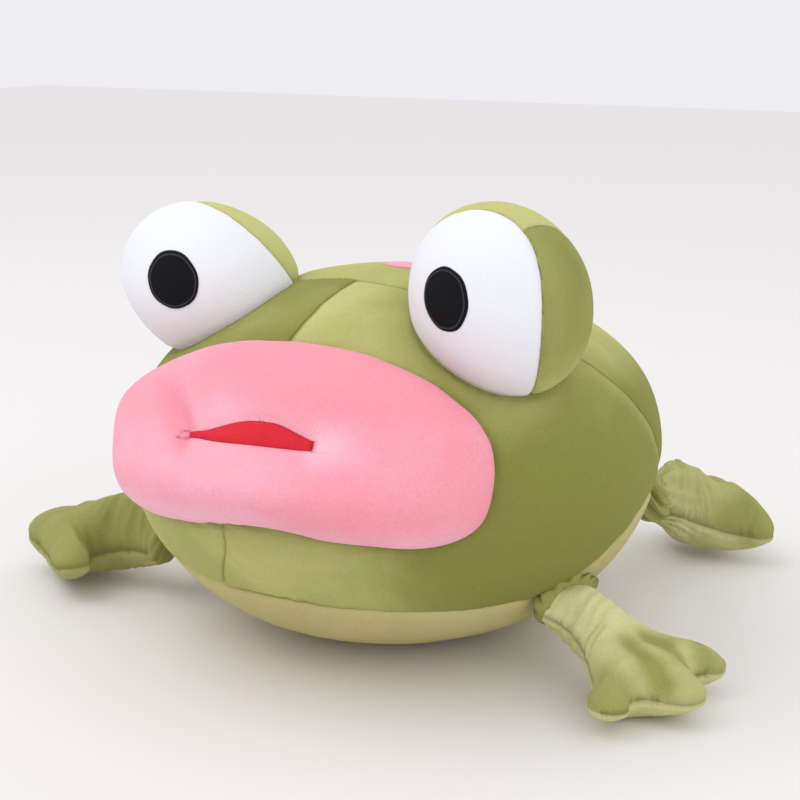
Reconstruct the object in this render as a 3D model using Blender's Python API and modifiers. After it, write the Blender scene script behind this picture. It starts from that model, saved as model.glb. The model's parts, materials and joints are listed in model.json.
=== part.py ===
"""Plush frog: velour panels sewn over stuffing, with two stuffed eyes, a padded mouth
and four limbs that hang from the belly seam on gathered necks of cloth.

Metres, +Z up. The frog looks along -Y and its left side is +X. The origin is on the
floor, under the middle of the belly.
"""
import math

import bmesh
import bpy
from mathutils import Matrix, Vector
from mathutils.bvhtree import BVHTree

# Cloth and sewing
cloth_thickness = 0.0015
sewing_gap = 0.0003
stuffing_gap = 0.0006
floor_flat_depth = 0.0005
trim_thickness = 0.0010
cut_overrun = 0.05
weld_distance = 0.00005
sliver_length = 0.0008

# Body: a squashed ball, whose belly its own weight flattens by the sink
body_half_width = 0.207
body_half_length = 0.202
widest_height = 0.140
crown_height = 0.141
belly_roundness = 2.05
belly_sink = 0.006

# Belly seam: its height above the floor at angles round the body, 0 at the front
seam_front_height = 0.066
seam_front_limb_height = 0.058
seam_side_height = 0.138
seam_rear_limb_height = 0.098
front_limb_angle = math.radians(76)
seam_side_angle = math.radians(112)
rear_limb_angle = math.radians(143)

# Back panel: a tilted seam that crosses just before the crown
back_seam_front = 0.045
back_seam_tilt = math.radians(32)

# Lips: a padded oval that wraps round the face, with a sunken mouth
lips_half_width = 0.169
lips_half_height = 0.068
lips_bulge = 0.056
lips_root_depth = 0.060
lips_front = 0.176
lips_height = 0.186
lips_tilt = math.radians(27)
lips_wrap_radius = 0.26
mouth_half_length = 0.054
mouth_half_height = 0.010
mouth_dip = 0.020
mouth_dip_reach = 0.040
mouth_drop = 0.007
mouth_roll = math.radians(-4)

# Eyes: stuffed eggs that lean outward, white in front and green behind
eye_half_width = 0.070
eye_half_depth = 0.062
eye_half_height = 0.068
eye_taper_share = 0.10
eye_side = 0.125
eye_front = 0.063
eye_height = 0.277
eye_turn_in = math.radians(25)
eye_lean_forward = math.radians(10)
eye_lean_out = math.radians(20)
right_eye_droop = 0.010
eye_seam_front = 0.011
eye_cap_height = 0.052
pupil_half_width = 0.0195
pupil_half_height = 0.0228
pupil_side = 0.013
pupil_height = 0.022

# Limbs: a padded arm that widens into a palm with three blunt toes
limb_palm_end = 0.083
limb_shoulder_length = 0.026
limb_wrist = 0.040
limb_toe_length = 0.037
limb_toe_spread = math.radians(48)
limb_shoulder_half_width = 0.030
limb_palm_half_width = 0.044
limb_toe_half_width = 0.0155
limb_upper_swell = 0.030
limb_palm_swell = 0.022
limb_toe_swell = 0.018
limb_lower_swell = 0.021
limb_mouth_rise = 0.016
limb_mouth_back = 0.002

# Necks: the gathered, unstuffed ends of the limbs, tucked into the limbs' open mouths
neck_edge_radius = 0.002
neck_half_width = 0.024
neck_waist_half_width = 0.0032
neck_tuck_radius = 0.0064
front_left_neck_reach = 0.012
front_right_neck_reach = 0.050
rear_neck_reach = 0.050
front_left_limb_turn = math.radians(-2)
front_right_limb_turn = math.radians(17)
rear_limb_turn = math.radians(20)
rear_limb_incline = math.radians(20)

# Patch of pink cloth on the back, just behind the crown
patch_half_width = 0.020
patch_half_length = 0.014
patch_side = 0.005
patch_back = 0.012

# Hand-chosen shares of a limb's width, where its mesh lines run, and of a toe
across_shares = (-1, -0.83, -0.5, -0.333, -0.166, 0.166, 0.333, 0.5, 0.83, 1)
toe_row_shares = ((0.35, 1.0, 1.0), (0.75, 0.97, 0.85), (1.0, 0.55, 0.0))
toe_columns = 3
limb_rows = 5
limb_upper_round_share = 2.2
limb_lower_round_share = 3.6

# Mesh counts
body_segments = 28
body_rings = 17
belly_rings = 7
lips_segments = 26
lips_rings = 12
eye_segments = 16
eye_rings = 10
pupil_segments = 18
small_segments = 12
small_rings = 6
neck_rows = 3

# Cloth colours: red, green, blue and roughness
green_velour = (0.275, 0.315, 0.075, 0.85)
belly_velour = (0.430, 0.420, 0.180, 0.85)
pink_velour = (0.900, 0.330, 0.350, 0.85)
red_velour = (0.700, 0.030, 0.045, 0.80)
white_velour = (0.860, 0.860, 0.880, 0.85)
black_satin = (0.010, 0.010, 0.012, 0.60)
fibre_white = (0.800, 0.790, 0.760, 0.95)


def clear_scene():
    for item in list(bpy.data.objects):
        bpy.data.objects.remove(item)


def new_collection(name):
    group = bpy.data.collections.new(name)
    bpy.context.scene.collection.children.link(group)
    return group


def cloth_material(name, finish):
    """A matt cloth, from its colour and roughness."""
    material = bpy.data.materials.new(name)
    material.use_nodes = True
    shader = material.node_tree.nodes["Principled BSDF"]
    shader.inputs["Base Color"].default_value = (*finish[:3], 1)
    shader.inputs["Roughness"].default_value = finish[3]
    shader.inputs["Metallic"].default_value = 0
    material.diffuse_color = (*finish[:3], 1)
    return material


def add_piece(name, bm, finish, group, parent=None):
    """Turns a bmesh into a smooth-shaded object with a material of its own."""
    mesh = bpy.data.meshes.new(name)
    bm.to_mesh(mesh)
    bm.free()
    mesh.shade_smooth()
    piece = bpy.data.objects.new(name, mesh)
    piece.parent = parent
    group.objects.link(piece)
    if finish:
        mesh.materials.append(cloth_material(name + "_cloth", finish))
    return piece


def add_cutter(name, bm, group):
    cutter = add_piece(name, bm, None, group)
    cutter.hide_render = True
    cutter.display_type = "WIRE"
    return cutter


def thicken(piece, thickness=cloth_thickness):
    """Gives an open panel its cloth, outward from its inner face."""
    solidify = piece.modifiers.new("cloth", "SOLIDIFY")
    solidify.thickness = thickness
    solidify.offset = 1
    solidify.use_even_offset = True


def cut(piece, cutter, operation="DIFFERENCE"):
    boolean = piece.modifiers.new(operation.lower(), "BOOLEAN")
    boolean.operation = operation
    boolean.object = cutter
    boolean.solver = "EXACT"


def smooth_step(share):
    share = min(max(share, 0), 1)
    return share * share * (3 - 2 * share)


def between(start, end, share):
    return start + (end - start) * share


def unit_sphere(segments, rings):
    bm = bmesh.new()
    bmesh.ops.create_uvsphere(bm, u_segments=segments, v_segments=rings, radius=1)
    return bm


def move_surface(bm, distance):
    """Moves a closed surface out by a distance, or in by a negative one."""
    bm.normal_update()
    places = [vert.co + vert.normal * distance * vert.calc_shell_factor() for vert in bm.verts]
    for vert, place in zip(bm.verts, places):
        vert.co = place
    bm.normal_update()


def slice_away(bm, point, normal, close=False):
    """Cuts off what lies on the normal's side of a plane, and may close the hole."""
    geometry = bm.verts[:] + bm.edges[:] + bm.faces[:]
    result = bmesh.ops.bisect_plane(bm, geom=geometry, dist=weld_distance, plane_co=point,
                                    plane_no=normal, clear_outer=True)
    if close:
        edges = [item for item in result["geom_cut"] if isinstance(item, bmesh.types.BMEdge)]
        bmesh.ops.holes_fill(bm, edges=edges)


def keep_tagged(bm, tag):
    """Keeps the faces with a tag, which is their material index until then."""
    others = [face for face in bm.faces if face.material_index != tag]
    bmesh.ops.delete(bm, geom=others, context="FACES")
    for face in bm.faces:
        face.material_index = 0


def free_edges(bm, sharpest_mitre=0.4):
    """Draws a panel's free edges back by half a sewing gap, after welding its slivers."""
    targets = {}
    for edge in bm.edges:
        if edge.calc_length() < sliver_length:
            outer = [vert for vert in edge.verts if vert.is_boundary]
            inner = [vert for vert in edge.verts if not vert.is_boundary]
            if len(outer) == 1:
                targets[inner[0]] = outer[0]
    bmesh.ops.weld_verts(bm, targetmap=targets)
    bm.normal_update()
    ways = {}
    for edge in bm.edges:
        if not edge.is_boundary:
            continue
        face = edge.link_faces[0]
        start, end = (vert.co for vert in edge.verts)
        inward = (end - start).cross(face.normal).normalized()
        if inward.dot(face.calc_center_median() - start) < 0:
            inward.negate()
        for vert in edge.verts:
            ways.setdefault(vert, []).append(inward)
    for vert, inwards in ways.items():
        way = sum(inwards, Vector()).normalized()
        vert.co += way * (sewing_gap / 2) / max(way.dot(inwards[0]), sharpest_mitre)


def seam_height(angle):
    """Height of the belly seam at an angle round the body, 0 at the front and pi at the back."""
    if angle < seam_side_angle:
        front = between(seam_front_height, seam_front_limb_height, smooth_step(angle / front_limb_angle))
        rise = smooth_step((angle - front_limb_angle) / (seam_side_angle - front_limb_angle))
        return between(front, seam_side_height, rise)
    fall = smooth_step((angle - seam_side_angle) / (rear_limb_angle - seam_side_angle))
    return between(seam_side_height, seam_rear_limb_height, fall)


def body_point(unit):
    """Moves a point of the unit sphere to the body, with one ring on the belly seam."""
    angle = math.atan2(abs(unit.x), -unit.y)
    latitude = math.asin(min(max(unit.z, -1), 1))
    quarter = math.pi / 2
    belly_depth = widest_height + belly_sink
    seam_latitude = math.pi * belly_rings / body_rings - quarter
    seam_share = (widest_height - seam_height(angle)) / belly_depth
    seam_turn = -math.asin(seam_share ** (belly_roundness / 2))
    if latitude < seam_latitude:
        turn = between(-quarter, seam_turn, (latitude + quarter) / (seam_latitude + quarter))
    else:
        turn = between(seam_turn, quarter, (latitude - seam_latitude) / (quarter - seam_latitude))
    if turn < 0:
        out = max(math.cos(turn), 0) ** (2 / belly_roundness)
        height = widest_height - belly_depth * math.sin(-turn) ** (2 / belly_roundness)
        height = max(height, -floor_flat_depth)
    else:
        out = math.cos(turn)
        height = widest_height + crown_height * math.sin(turn)
    side = body_half_width * out * math.sin(angle)
    return Vector((math.copysign(side, unit.x), -body_half_length * out * math.cos(angle), height))


def body_surface(move=0):
    """The body's closed skin, with the belly's faces tagged 1 and the others 0."""
    bm = unit_sphere(body_segments, body_rings)
    seam_level = math.sin(math.pi * belly_rings / body_rings - math.pi / 2)
    for face in bm.faces:
        face.material_index = int(face.calc_center_median().z < seam_level)
    for vert in bm.verts:
        vert.co = body_point(vert.co)
    bmesh.ops.triangulate(bm, faces=bm.faces)
    move_surface(bm, move)
    return bm


def back_seam():
    """A point and a normal of the plane that parts the face panels from the back panel."""
    normal = Vector((0, math.sin(back_seam_tilt), math.cos(back_seam_tilt)))
    return Vector((0, -back_seam_front, widest_height + crown_height)), normal


def body_panel(name, tag, cuts, finish, group):
    bm = body_surface(-cloth_thickness)
    keep_tagged(bm, tag)
    for point, normal in cuts:
        slice_away(bm, point, normal)
    free_edges(bm)
    panel = add_piece(name, bm, finish, group)
    thicken(panel)
    return panel


def add_body(group, floor_block):
    """The four velour panels and the stuffing that fills them."""
    crown, backward = back_seam()
    middle = Vector()
    right, left = Vector((-1, 0, 0)), Vector((1, 0, 0))
    body_panel("face_left", 0, ((crown, backward), (middle, right)), green_velour, group)
    body_panel("face_right", 0, ((crown, backward), (middle, left)), green_velour, group)
    body_panel("back_panel", 0, ((crown, -backward),), green_velour, group)
    belly = body_panel("belly_panel", 1, (), belly_velour, group)
    cut(belly, floor_block)
    add_piece("body_stuffing", body_surface(-cloth_thickness - stuffing_gap), fibre_white, group)


def lips_point(unit):
    """Moves a point of the unit sphere, whose pole faces out, to the wrapped oval of the lips."""
    out = math.hypot(unit.x, unit.y)
    mouth_share = math.sin(math.pi / lips_rings)
    spread = (out - mouth_share) / (1 - mouth_share)
    if unit.z < 0:
        half_width, half_height = lips_half_width * out, lips_half_height * out
    elif spread < 0:
        half_width = mouth_half_length * out / mouth_share
        half_height = mouth_half_height * out / mouth_share
    else:
        half_width = between(mouth_half_length, lips_half_width, spread)
        half_height = between(mouth_half_height, lips_half_height, spread)
    angle = math.atan2(unit.y, unit.x)
    across, up = half_width * math.cos(angle), half_height * math.sin(angle)
    forward = lips_root_depth * unit.z
    if unit.z > 0:
        from_mouth = max(spread, 0) * lips_half_height / mouth_dip_reach
        forward = lips_bulge * unit.z - mouth_dip * math.exp(-from_mouth * from_mouth)
        up -= (mouth_drop + across * math.tan(mouth_roll)) * smooth_step(1 - spread)
    wrap = across / lips_wrap_radius
    reach = lips_wrap_radius + forward
    return Vector((reach * math.sin(wrap), lips_wrap_radius - reach * math.cos(wrap), up))


def lips_surface(move=0):
    """The lips' closed skin in place, with the mouth's faces tagged 1 and the others 0."""
    bm = unit_sphere(lips_segments, lips_rings)
    mouth_level = math.cos(math.pi / lips_rings)
    for face in bm.faces:
        face.material_index = int(face.calc_center_median().z > mouth_level)
    frame = Matrix.Translation((0, -lips_front, lips_height)) @ Matrix.Rotation(-lips_tilt, 4, "X")
    for vert in bm.verts:
        vert.co = frame @ lips_point(vert.co)
    bmesh.ops.triangulate(bm, faces=bm.faces)
    bmesh.ops.recalc_face_normals(bm, faces=bm.faces)
    move_surface(bm, move)
    return bm


def add_lips(group, body_block):
    """The pink skin round the mouth, the red lining in it and the stuffing behind them."""
    for name, tag, finish in (("lips_skin", 0, pink_velour), ("mouth_lining", 1, red_velour)):
        bm = lips_surface(-cloth_thickness)
        keep_tagged(bm, tag)
        free_edges(bm)
        panel = add_piece(name, bm, finish, group)
        thicken(panel)
        if tag == 0:
            cut(panel, body_block)
    stuffing = add_piece("lips_stuffing", lips_surface(-cloth_thickness - stuffing_gap), fibre_white, group)
    cut(stuffing, body_block)


def eye_frame(side):
    """Where an eye stands: side is 1 for the frog's left eye and -1 for its right."""
    droop = right_eye_droop if side < 0 else 0
    place = Matrix.Translation((side * eye_side, -eye_front, eye_height - droop))
    turn = Matrix.Rotation(-side * eye_turn_in, 4, "Z")
    lean_out = Matrix.Rotation(side * eye_lean_out, 4, "Y")
    return place @ turn @ lean_out @ Matrix.Rotation(eye_lean_forward, 4, "X")


def eye_surface(move=0):
    """An eye's closed skin in its own frame, narrower at the foot than at the top."""
    bm = unit_sphere(eye_segments, eye_rings)
    for vert in bm.verts:
        taper = 1 + eye_taper_share * vert.co.z
        vert.co = Vector((eye_half_width * vert.co.x * taper, eye_half_depth * vert.co.y * taper,
                          eye_half_height * vert.co.z))
    bmesh.ops.triangulate(bm, faces=bm.faces)
    move_surface(bm, move)
    return bm


def eye_panel(name, cuts, finish, group, frame, body_block):
    bm = eye_surface(-cloth_thickness)
    for point, normal in cuts:
        slice_away(bm, point, normal)
    free_edges(bm)
    bm.transform(frame)
    panel = add_piece(name, bm, finish, group)
    thicken(panel)
    cut(panel, body_block)


def add_eye(side_name, side, group, cutters, body_block):
    """A white front, a green back and crown cap, a black pupil and the stuffing of one eye."""
    frame = eye_frame(side)
    front_seam, cap_seam = Vector((0, -eye_seam_front, 0)), Vector((0, 0, eye_cap_height))
    forward, up = Vector((0, -1, 0)), Vector((0, 0, 1))
    eye_panel(side_name + "_eye_white", ((front_seam, -forward),), white_velour, group, frame, body_block)
    eye_panel(side_name + "_eye_back", ((front_seam, forward), (cap_seam, up)), green_velour, group, frame,
              body_block)
    eye_panel(side_name + "_eye_cap", ((front_seam, forward), (cap_seam, -up)), green_velour, group, frame,
              body_block)
    bm = eye_surface(-cloth_thickness - stuffing_gap)
    bm.transform(frame)
    stuffing = add_piece(side_name + "_eye_stuffing", bm, fibre_white, group)
    cut(stuffing, body_block)
    layers = []
    for label, move in (("outer", sewing_gap + trim_thickness), ("inner", sewing_gap)):
        bm = eye_surface(move)
        bm.transform(frame)
        layers.append(add_cutter(side_name + "_eye_" + label, bm, cutters))
    bm = bmesh.new()
    bmesh.ops.create_cone(bm, cap_ends=True, segments=pupil_segments, radius1=1, radius2=1, depth=1)
    size = Matrix.Diagonal((pupil_half_width, pupil_half_height, 2 * eye_half_depth, 1))
    place = Matrix.Translation((side * pupil_side, -eye_half_depth, pupil_height))
    bm.transform(frame @ place @ Matrix.Rotation(math.pi / 2, 4, "X") @ size)
    pupil = add_piece(side_name + "_pupil", bm, black_satin, group)
    cut(pupil, layers[0], "INTERSECT")
    cut(pupil, layers[1])


def limb_half_width(along):
    mouth = neck_tuck_radius + stuffing_gap + cloth_thickness
    shoulder = between(mouth, limb_shoulder_half_width, smooth_step(along / limb_shoulder_length))
    widening = smooth_step((along - limb_wrist) / (limb_palm_end - limb_wrist))
    return between(shoulder, limb_palm_half_width, widening)


def limb_height(along, share, upper):
    """Height of a limb's skin over its mouth's middle, at a share of its half width."""
    mouth = neck_tuck_radius + stuffing_gap + cloth_thickness
    swelling = smooth_step(along / limb_shoulder_length)
    thinning = smooth_step((along - limb_wrist) / (limb_palm_end - limb_wrist))
    if upper:
        swell = between(between(mouth, limb_upper_swell, swelling), limb_palm_swell, thinning)
        roundness = between(2, limb_upper_round_share, swelling)
    else:
        swell = -between(mouth, limb_lower_swell + floor_flat_depth, swelling)
        roundness = between(2, limb_lower_round_share, swelling)
    crown = max(1 - abs(share) ** roundness, 0) ** (1 / roundness)
    return swell * crown - limb_mouth_rise * swelling


def grow_toe(bm, row, heading, upper):
    """Extrudes a toe from its stretch of the palm's end, given as (vert, share) pairs."""
    first, last = row[0][1], row[-1][1]
    middle = Vector((limb_palm_end, (first + last) / 2 * limb_palm_half_width, -limb_mouth_rise))
    forward = Vector((math.cos(heading), math.sin(heading), 0))
    sideways = Vector((-forward.y, forward.x, 0))
    swell = limb_toe_swell if upper else -limb_lower_swell - floor_flat_depth
    for length_share, width_share, swell_share in toe_row_shares:
        row_verts = {vert for vert, share in row}
        edges = [edge for edge in bm.edges if row_verts.issuperset(edge.verts)]
        grown = bmesh.ops.extrude_edge_only(bm, edges=edges)["geom"]
        new_verts = {item for item in grown if isinstance(item, bmesh.types.BMVert)}
        next_row = []
        for vert, share in row:
            neighbours = [edge.other_vert(vert) for edge in vert.link_edges]
            new_vert = next(other for other in neighbours if other in new_verts)
            place = 2 * (share - first) / (last - first) - 1
            inside = first < share < last
            new_vert.co = middle + forward * limb_toe_length * length_share
            new_vert.co += sideways * limb_toe_half_width * width_share * place
            new_vert.co.z += swell * swell_share * inside
            next_row.append((new_vert, share))
        row = next_row


def limb_half(upper):
    """One skin of a limb: a grid shaped into the arm and palm, with three toes extruded."""
    bm = bmesh.new()
    columns = len(across_shares) - 1
    bmesh.ops.create_grid(bm, x_segments=limb_rows, y_segments=columns, size=1)
    end_row = {}
    for vert in bm.verts:
        column = round((vert.co.y + 1) / 2 * columns)
        share = across_shares[column]
        row_share = (vert.co.x + 1) / 2
        along = between(-limb_mouth_back, limb_palm_end, row_share)
        height = limb_height(along, share, upper)
        if round(row_share * limb_rows) == limb_rows:
            end_row[column] = (vert, share)
            if column % toe_columns == 0:
                height = -limb_mouth_rise
        vert.co = Vector((along, share * limb_half_width(along), height))
    for toe, heading in enumerate((-limb_toe_spread, 0, limb_toe_spread)):
        row = [end_row[toe * toe_columns + step] for step in range(toe_columns + 1)]
        grow_toe(bm, row, heading, upper)
    for face in bm.faces:
        face.material_index = int(not upper)
    return bm


def limb_surface(move=0):
    """A limb's closed skin round its mouth's middle, tagged 0 above, 1 below and 2 at the mouth."""
    bm = limb_half(True)
    lower = limb_half(False)
    mesh = bpy.data.meshes.new("lower_half")
    lower.to_mesh(mesh)
    lower.free()
    bm.from_mesh(mesh)
    bpy.data.meshes.remove(mesh)
    bmesh.ops.remove_doubles(bm, verts=bm.verts, dist=sewing_gap)
    mouth = [edge for edge in bm.edges if edge.is_boundary]
    for face in bmesh.ops.holes_fill(bm, edges=mouth)["faces"]:
        face.material_index = 2
    bmesh.ops.triangulate(bm, faces=bm.faces)
    bmesh.ops.recalc_face_normals(bm, faces=bm.faces)
    move_surface(bm, move)
    return bm


def mouth_height(incline):
    """Height of a limb's mouth when the limb, at its incline, rests on the floor."""
    bm = limb_surface()
    tilt = Matrix.Rotation(incline, 3, "Y")
    lowest = min((tilt @ vert.co).z for vert in bm.verts)
    bm.free()
    return -floor_flat_depth - lowest


def add_axis(name, place, heading, group, parent=None, incline=0):
    """An empty on a joint's axis, with X along the limb and Z up."""
    empty = bpy.data.objects.new(name, None)
    empty.location = place
    empty.rotation_euler = (0, incline, heading)
    empty.parent = parent
    group.objects.link(empty)
    return empty


def neck_strip(reach, drop):
    """The flat run of a neck in its own frame: it narrows to a waist before the limb's mouth."""
    bm = bmesh.new()
    bmesh.ops.create_grid(bm, x_segments=neck_rows, y_segments=neck_rows, size=1)
    waist = reach - neck_tuck_radius - limb_mouth_back
    for vert in bm.verts:
        row = (vert.co.x + 1) / 2 * neck_rows
        along = reach if row > neck_rows - 0.5 else waist * row / (neck_rows - 1)
        half_width = between(neck_half_width, neck_waist_half_width, smooth_step(along / waist))
        vert.co = Vector((along, half_width * vert.co.y, -drop * smooth_step(along / waist)))
    return bm


def add_neck(name, reach, drop, group, cutters, parent):
    """A neck: a rolled edge at the seam, a gathered strip and a rounded end in the limb's mouth."""
    neck = add_piece(name, neck_strip(reach, drop), green_velour, group, parent)
    solidify = neck.modifiers.new("cloth", "SOLIDIFY")
    solidify.thickness = 2 * neck_edge_radius
    solidify.offset = 0
    bm = bmesh.new()
    bmesh.ops.create_cone(bm, cap_ends=True, segments=small_segments, radius1=neck_edge_radius,
                          radius2=neck_edge_radius, depth=2 * neck_half_width)
    bm.transform(Matrix.Rotation(math.pi / 2, 4, "X"))
    edge = add_cutter(name + "_edge", bm, cutters)
    bm = unit_sphere(small_segments, small_rings)
    bm.transform(Matrix.Translation((reach, 0, -drop)) @ Matrix.Scale(neck_tuck_radius, 4))
    tuck = add_cutter(name + "_tuck", bm, cutters)
    for piece in (edge, tuck):
        piece.parent = parent
        cut(neck, piece, "UNION")


def add_limb(name, side, rear, group, cutters, floor_block, body_tree):
    """A neck on the belly seam and the limb that hangs on it; side is 1 on the frog's left."""
    angle = rear_limb_angle if rear else front_limb_angle
    front_reach = front_left_neck_reach if side > 0 else front_right_neck_reach
    reach = rear_neck_reach if rear else front_reach
    front_turn = front_left_limb_turn if side > 0 else front_right_limb_turn
    turn = rear_limb_turn if rear else front_turn
    incline = rear_limb_incline if rear else 0
    outward = Vector((side * math.sin(angle), -math.cos(angle), 0))
    level = Vector((0, 0, seam_height(angle)))
    place, normal, _, _ = body_tree.ray_cast(level + outward * 2 * body_half_width, -outward)
    place = place + normal * (neck_edge_radius + sewing_gap)
    heading = math.atan2(normal.y, normal.x)
    lift_axis = add_axis(name + "_lift_axis", place, heading, group)
    drop = place.z - mouth_height(incline)
    add_neck(name + "_neck", reach, drop, group, cutters, lift_axis)
    swing_axis = add_axis(name + "_swing_axis", (reach, 0, -drop), side * turn, group, lift_axis, incline)
    for label, tag in (("upper", 0), ("sole", 1)):
        bm = limb_surface(-cloth_thickness)
        keep_tagged(bm, tag)
        free_edges(bm)
        skin = add_piece(name + "_" + label, bm, green_velour, group, swing_axis)
        thicken(skin)
        if tag:
            cut(skin, floor_block)
    bm = limb_surface(-cloth_thickness - stuffing_gap)
    slice_away(bm, Vector((neck_tuck_radius + stuffing_gap, 0, 0)), Vector((-1, 0, 0)), close=True)
    add_piece(name + "_stuffing", bm, fibre_white, group, swing_axis)


def add_patch(group, cutters, body_tree):
    """A plain oval of pink cloth sewn on the back panel."""
    above = Vector((patch_side, patch_back, 2 * (widest_height + crown_height)))
    place = body_tree.ray_cast(above, Vector((0, 0, -1)))[0]
    layers = []
    for label, move in (("patch_outer", sewing_gap + trim_thickness), ("patch_inner", sewing_gap)):
        layers.append(add_cutter(label, body_surface(move), cutters))
    bm = bmesh.new()
    bmesh.ops.create_cone(bm, cap_ends=True, segments=pupil_segments, radius1=1, radius2=1, depth=1)
    size = Matrix.Diagonal((patch_half_width, patch_half_length, cut_overrun, 1))
    bm.transform(Matrix.Translation(place) @ size)
    patch = add_piece("back_patch", bm, pink_velour, group)
    cut(patch, layers[0], "INTERSECT")
    cut(patch, layers[1])


def main():
    clear_scene()
    group = new_collection("plush_frog")
    cutters = new_collection("cutters")
    bm = bmesh.new()
    bmesh.ops.create_cube(bm, size=1)
    floor_size = Matrix.Diagonal((8 * body_half_width, 8 * body_half_width, cut_overrun, 1))
    bm.transform(Matrix.Translation((0, 0, -cut_overrun / 2)) @ floor_size)
    floor_block = add_cutter("floor_block", bm, cutters)
    body_block = add_cutter("body_block", body_surface(sewing_gap), cutters)
    skin = body_surface()
    body_tree = BVHTree.FromBMesh(skin)
    skin.free()
    add_body(group, floor_block)
    add_lips(group, body_block)
    add_eye("left", 1, group, cutters, body_block)
    add_eye("right", -1, group, cutters, body_block)
    for end, rear in (("front", False), ("rear", True)):
        for side_name, side in (("left", 1), ("right", -1)):
            add_limb(end + "_" + side_name, side, rear, group, cutters, floor_block, body_tree)
    add_patch(group, cutters, body_tree)


main()
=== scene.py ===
"""The plush frog as it looks: velour panels over fibre filling, on a plain pale floor.

Metres, +Z up. The frog looks along -Y and its left side is +X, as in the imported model.
"""
import json
import math

import bmesh
import bpy
import numpy as np
from mathutils import Matrix, Vector, noise
from mathutils.bvhtree import BVHTree
from mathutils.geometry import delaunay_2d_cdt


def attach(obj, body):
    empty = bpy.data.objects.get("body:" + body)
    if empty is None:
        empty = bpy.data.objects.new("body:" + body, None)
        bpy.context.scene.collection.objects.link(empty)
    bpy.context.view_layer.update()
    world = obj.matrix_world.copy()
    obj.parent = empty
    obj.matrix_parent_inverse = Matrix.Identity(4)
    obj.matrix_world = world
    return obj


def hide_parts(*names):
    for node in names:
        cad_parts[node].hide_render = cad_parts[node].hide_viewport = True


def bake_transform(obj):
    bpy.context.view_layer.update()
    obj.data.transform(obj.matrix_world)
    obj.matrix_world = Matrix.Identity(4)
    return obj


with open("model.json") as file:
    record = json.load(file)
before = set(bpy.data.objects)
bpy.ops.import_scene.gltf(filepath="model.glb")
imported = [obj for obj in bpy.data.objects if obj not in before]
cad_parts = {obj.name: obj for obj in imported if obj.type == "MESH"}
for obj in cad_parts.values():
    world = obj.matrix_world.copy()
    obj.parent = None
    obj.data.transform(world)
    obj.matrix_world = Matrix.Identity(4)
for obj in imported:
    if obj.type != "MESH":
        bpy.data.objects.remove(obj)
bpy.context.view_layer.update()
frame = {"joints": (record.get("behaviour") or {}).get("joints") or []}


# Camera
# The view is from in front of the frog, a little to its left, and looks slightly down at it
# through a long lens.
camera_spot = (0.6313, -1.0409, 0.480)
camera_turn = math.radians(31.0)
camera_pitch = math.radians(14.04)
camera_lens = 72.0

camera = bpy.data.objects.new("camera", bpy.data.cameras.new("camera"))
camera.location = camera_spot
camera.rotation_euler = (math.pi / 2 - camera_pitch, 0, camera_turn)
camera.data.lens = camera_lens
camera.data.sensor_width = 36.0
bpy.context.scene.collection.objects.link(camera)
bpy.context.scene.camera = camera
bpy.context.scene.view_settings.view_transform = "Standard"


# Floor and light
# The frog sits on a plain pale floor under a large soft lamp on its right, as by a window,
# with a weaker lamp on the other side and an even pale sky.
floor_size = 12.0
floor_colour = (0.80, 0.765, 0.75)
sky_strength, sky_colour, wall_colour = 1.05, (0.95, 0.97, 1.0), (0.86, 0.85, 0.89)
window_power, window_size, window_spot = 15.5, 1.8, (-1.2, -0.9, 2.3)
fill_power, fill_size, fill_spot = 7.0, 1.8, (1.9, -1.1, 1.3)
lamp_target = Vector((0, 0, 0.12))


def set_values(node, values):
    """Sets the plain values of a node's inputs, by their names or places."""
    for name, value in values.items():
        node.inputs[name].default_value = value


def add_node(tree, kind, values=None, **settings):
    """Adds a shader node with its settings and the plain values of its inputs."""
    node = tree.nodes.new("ShaderNode" + kind)
    for name, value in settings.items():
        setattr(node, name, value)
    set_values(node, values or {})
    return node


def connect(tree, *wires):
    """Wires nodes up: each wire is a node, its output, the next node and its input."""
    for source, output, target, into in wires:
        tree.links.new(source.outputs[output], target.inputs[into])


bpy.ops.mesh.primitive_plane_add(size=floor_size)
floor = bpy.context.object
floor.name = "floor"
floor_material = bpy.data.materials.new("floor")
floor_material.use_nodes = True
set_values(floor_material.node_tree.nodes["Principled BSDF"],
           {"Base Color": (*floor_colour, 1), "Roughness": 0.9, "Specular IOR Level": 0.2})
floor.data.materials.append(floor_material)

world = bpy.data.worlds.new("sky")
bpy.context.scene.world = world
world.use_nodes = True
sky_tree = world.node_tree
sky, sky_end = sky_tree.nodes["Background"], sky_tree.nodes["World Output"]
set_values(sky, {"Color": (*sky_colour, 1), "Strength": sky_strength})
wall = add_node(sky_tree, "Background", {"Color": (*wall_colour, 1)})
seen = add_node(sky_tree, "LightPath")
either = add_node(sky_tree, "Math", operation="MAXIMUM")
shown = add_node(sky_tree, "Math", operation="MAXIMUM")
choose = add_node(sky_tree, "MixShader")
connect(sky_tree, (seen, "Is Glossy Ray", either, 0), (seen, "Is Transmission Ray", either, 1),
        (seen, "Is Camera Ray", shown, 0), (either, "Value", shown, 1), (shown, "Value", choose, "Fac"),
        (sky, "Background", choose, 1), (wall, "Background", choose, 2),
        (choose, "Shader", sky_end, "Surface"))
for name, power, size, spot in (("window", window_power, window_size, window_spot),
                                ("fill", fill_power, fill_size, fill_spot)):
    lamp = bpy.data.objects.new(name, bpy.data.lights.new(name, "AREA"))
    lamp.data.energy = power
    lamp.data.size = size
    lamp.location = spot
    lamp.rotation_euler = (lamp_target - Vector(spot)).to_track_quat("-Z", "Y").to_euler()
    bpy.context.scene.collection.objects.link(lamp)


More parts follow.
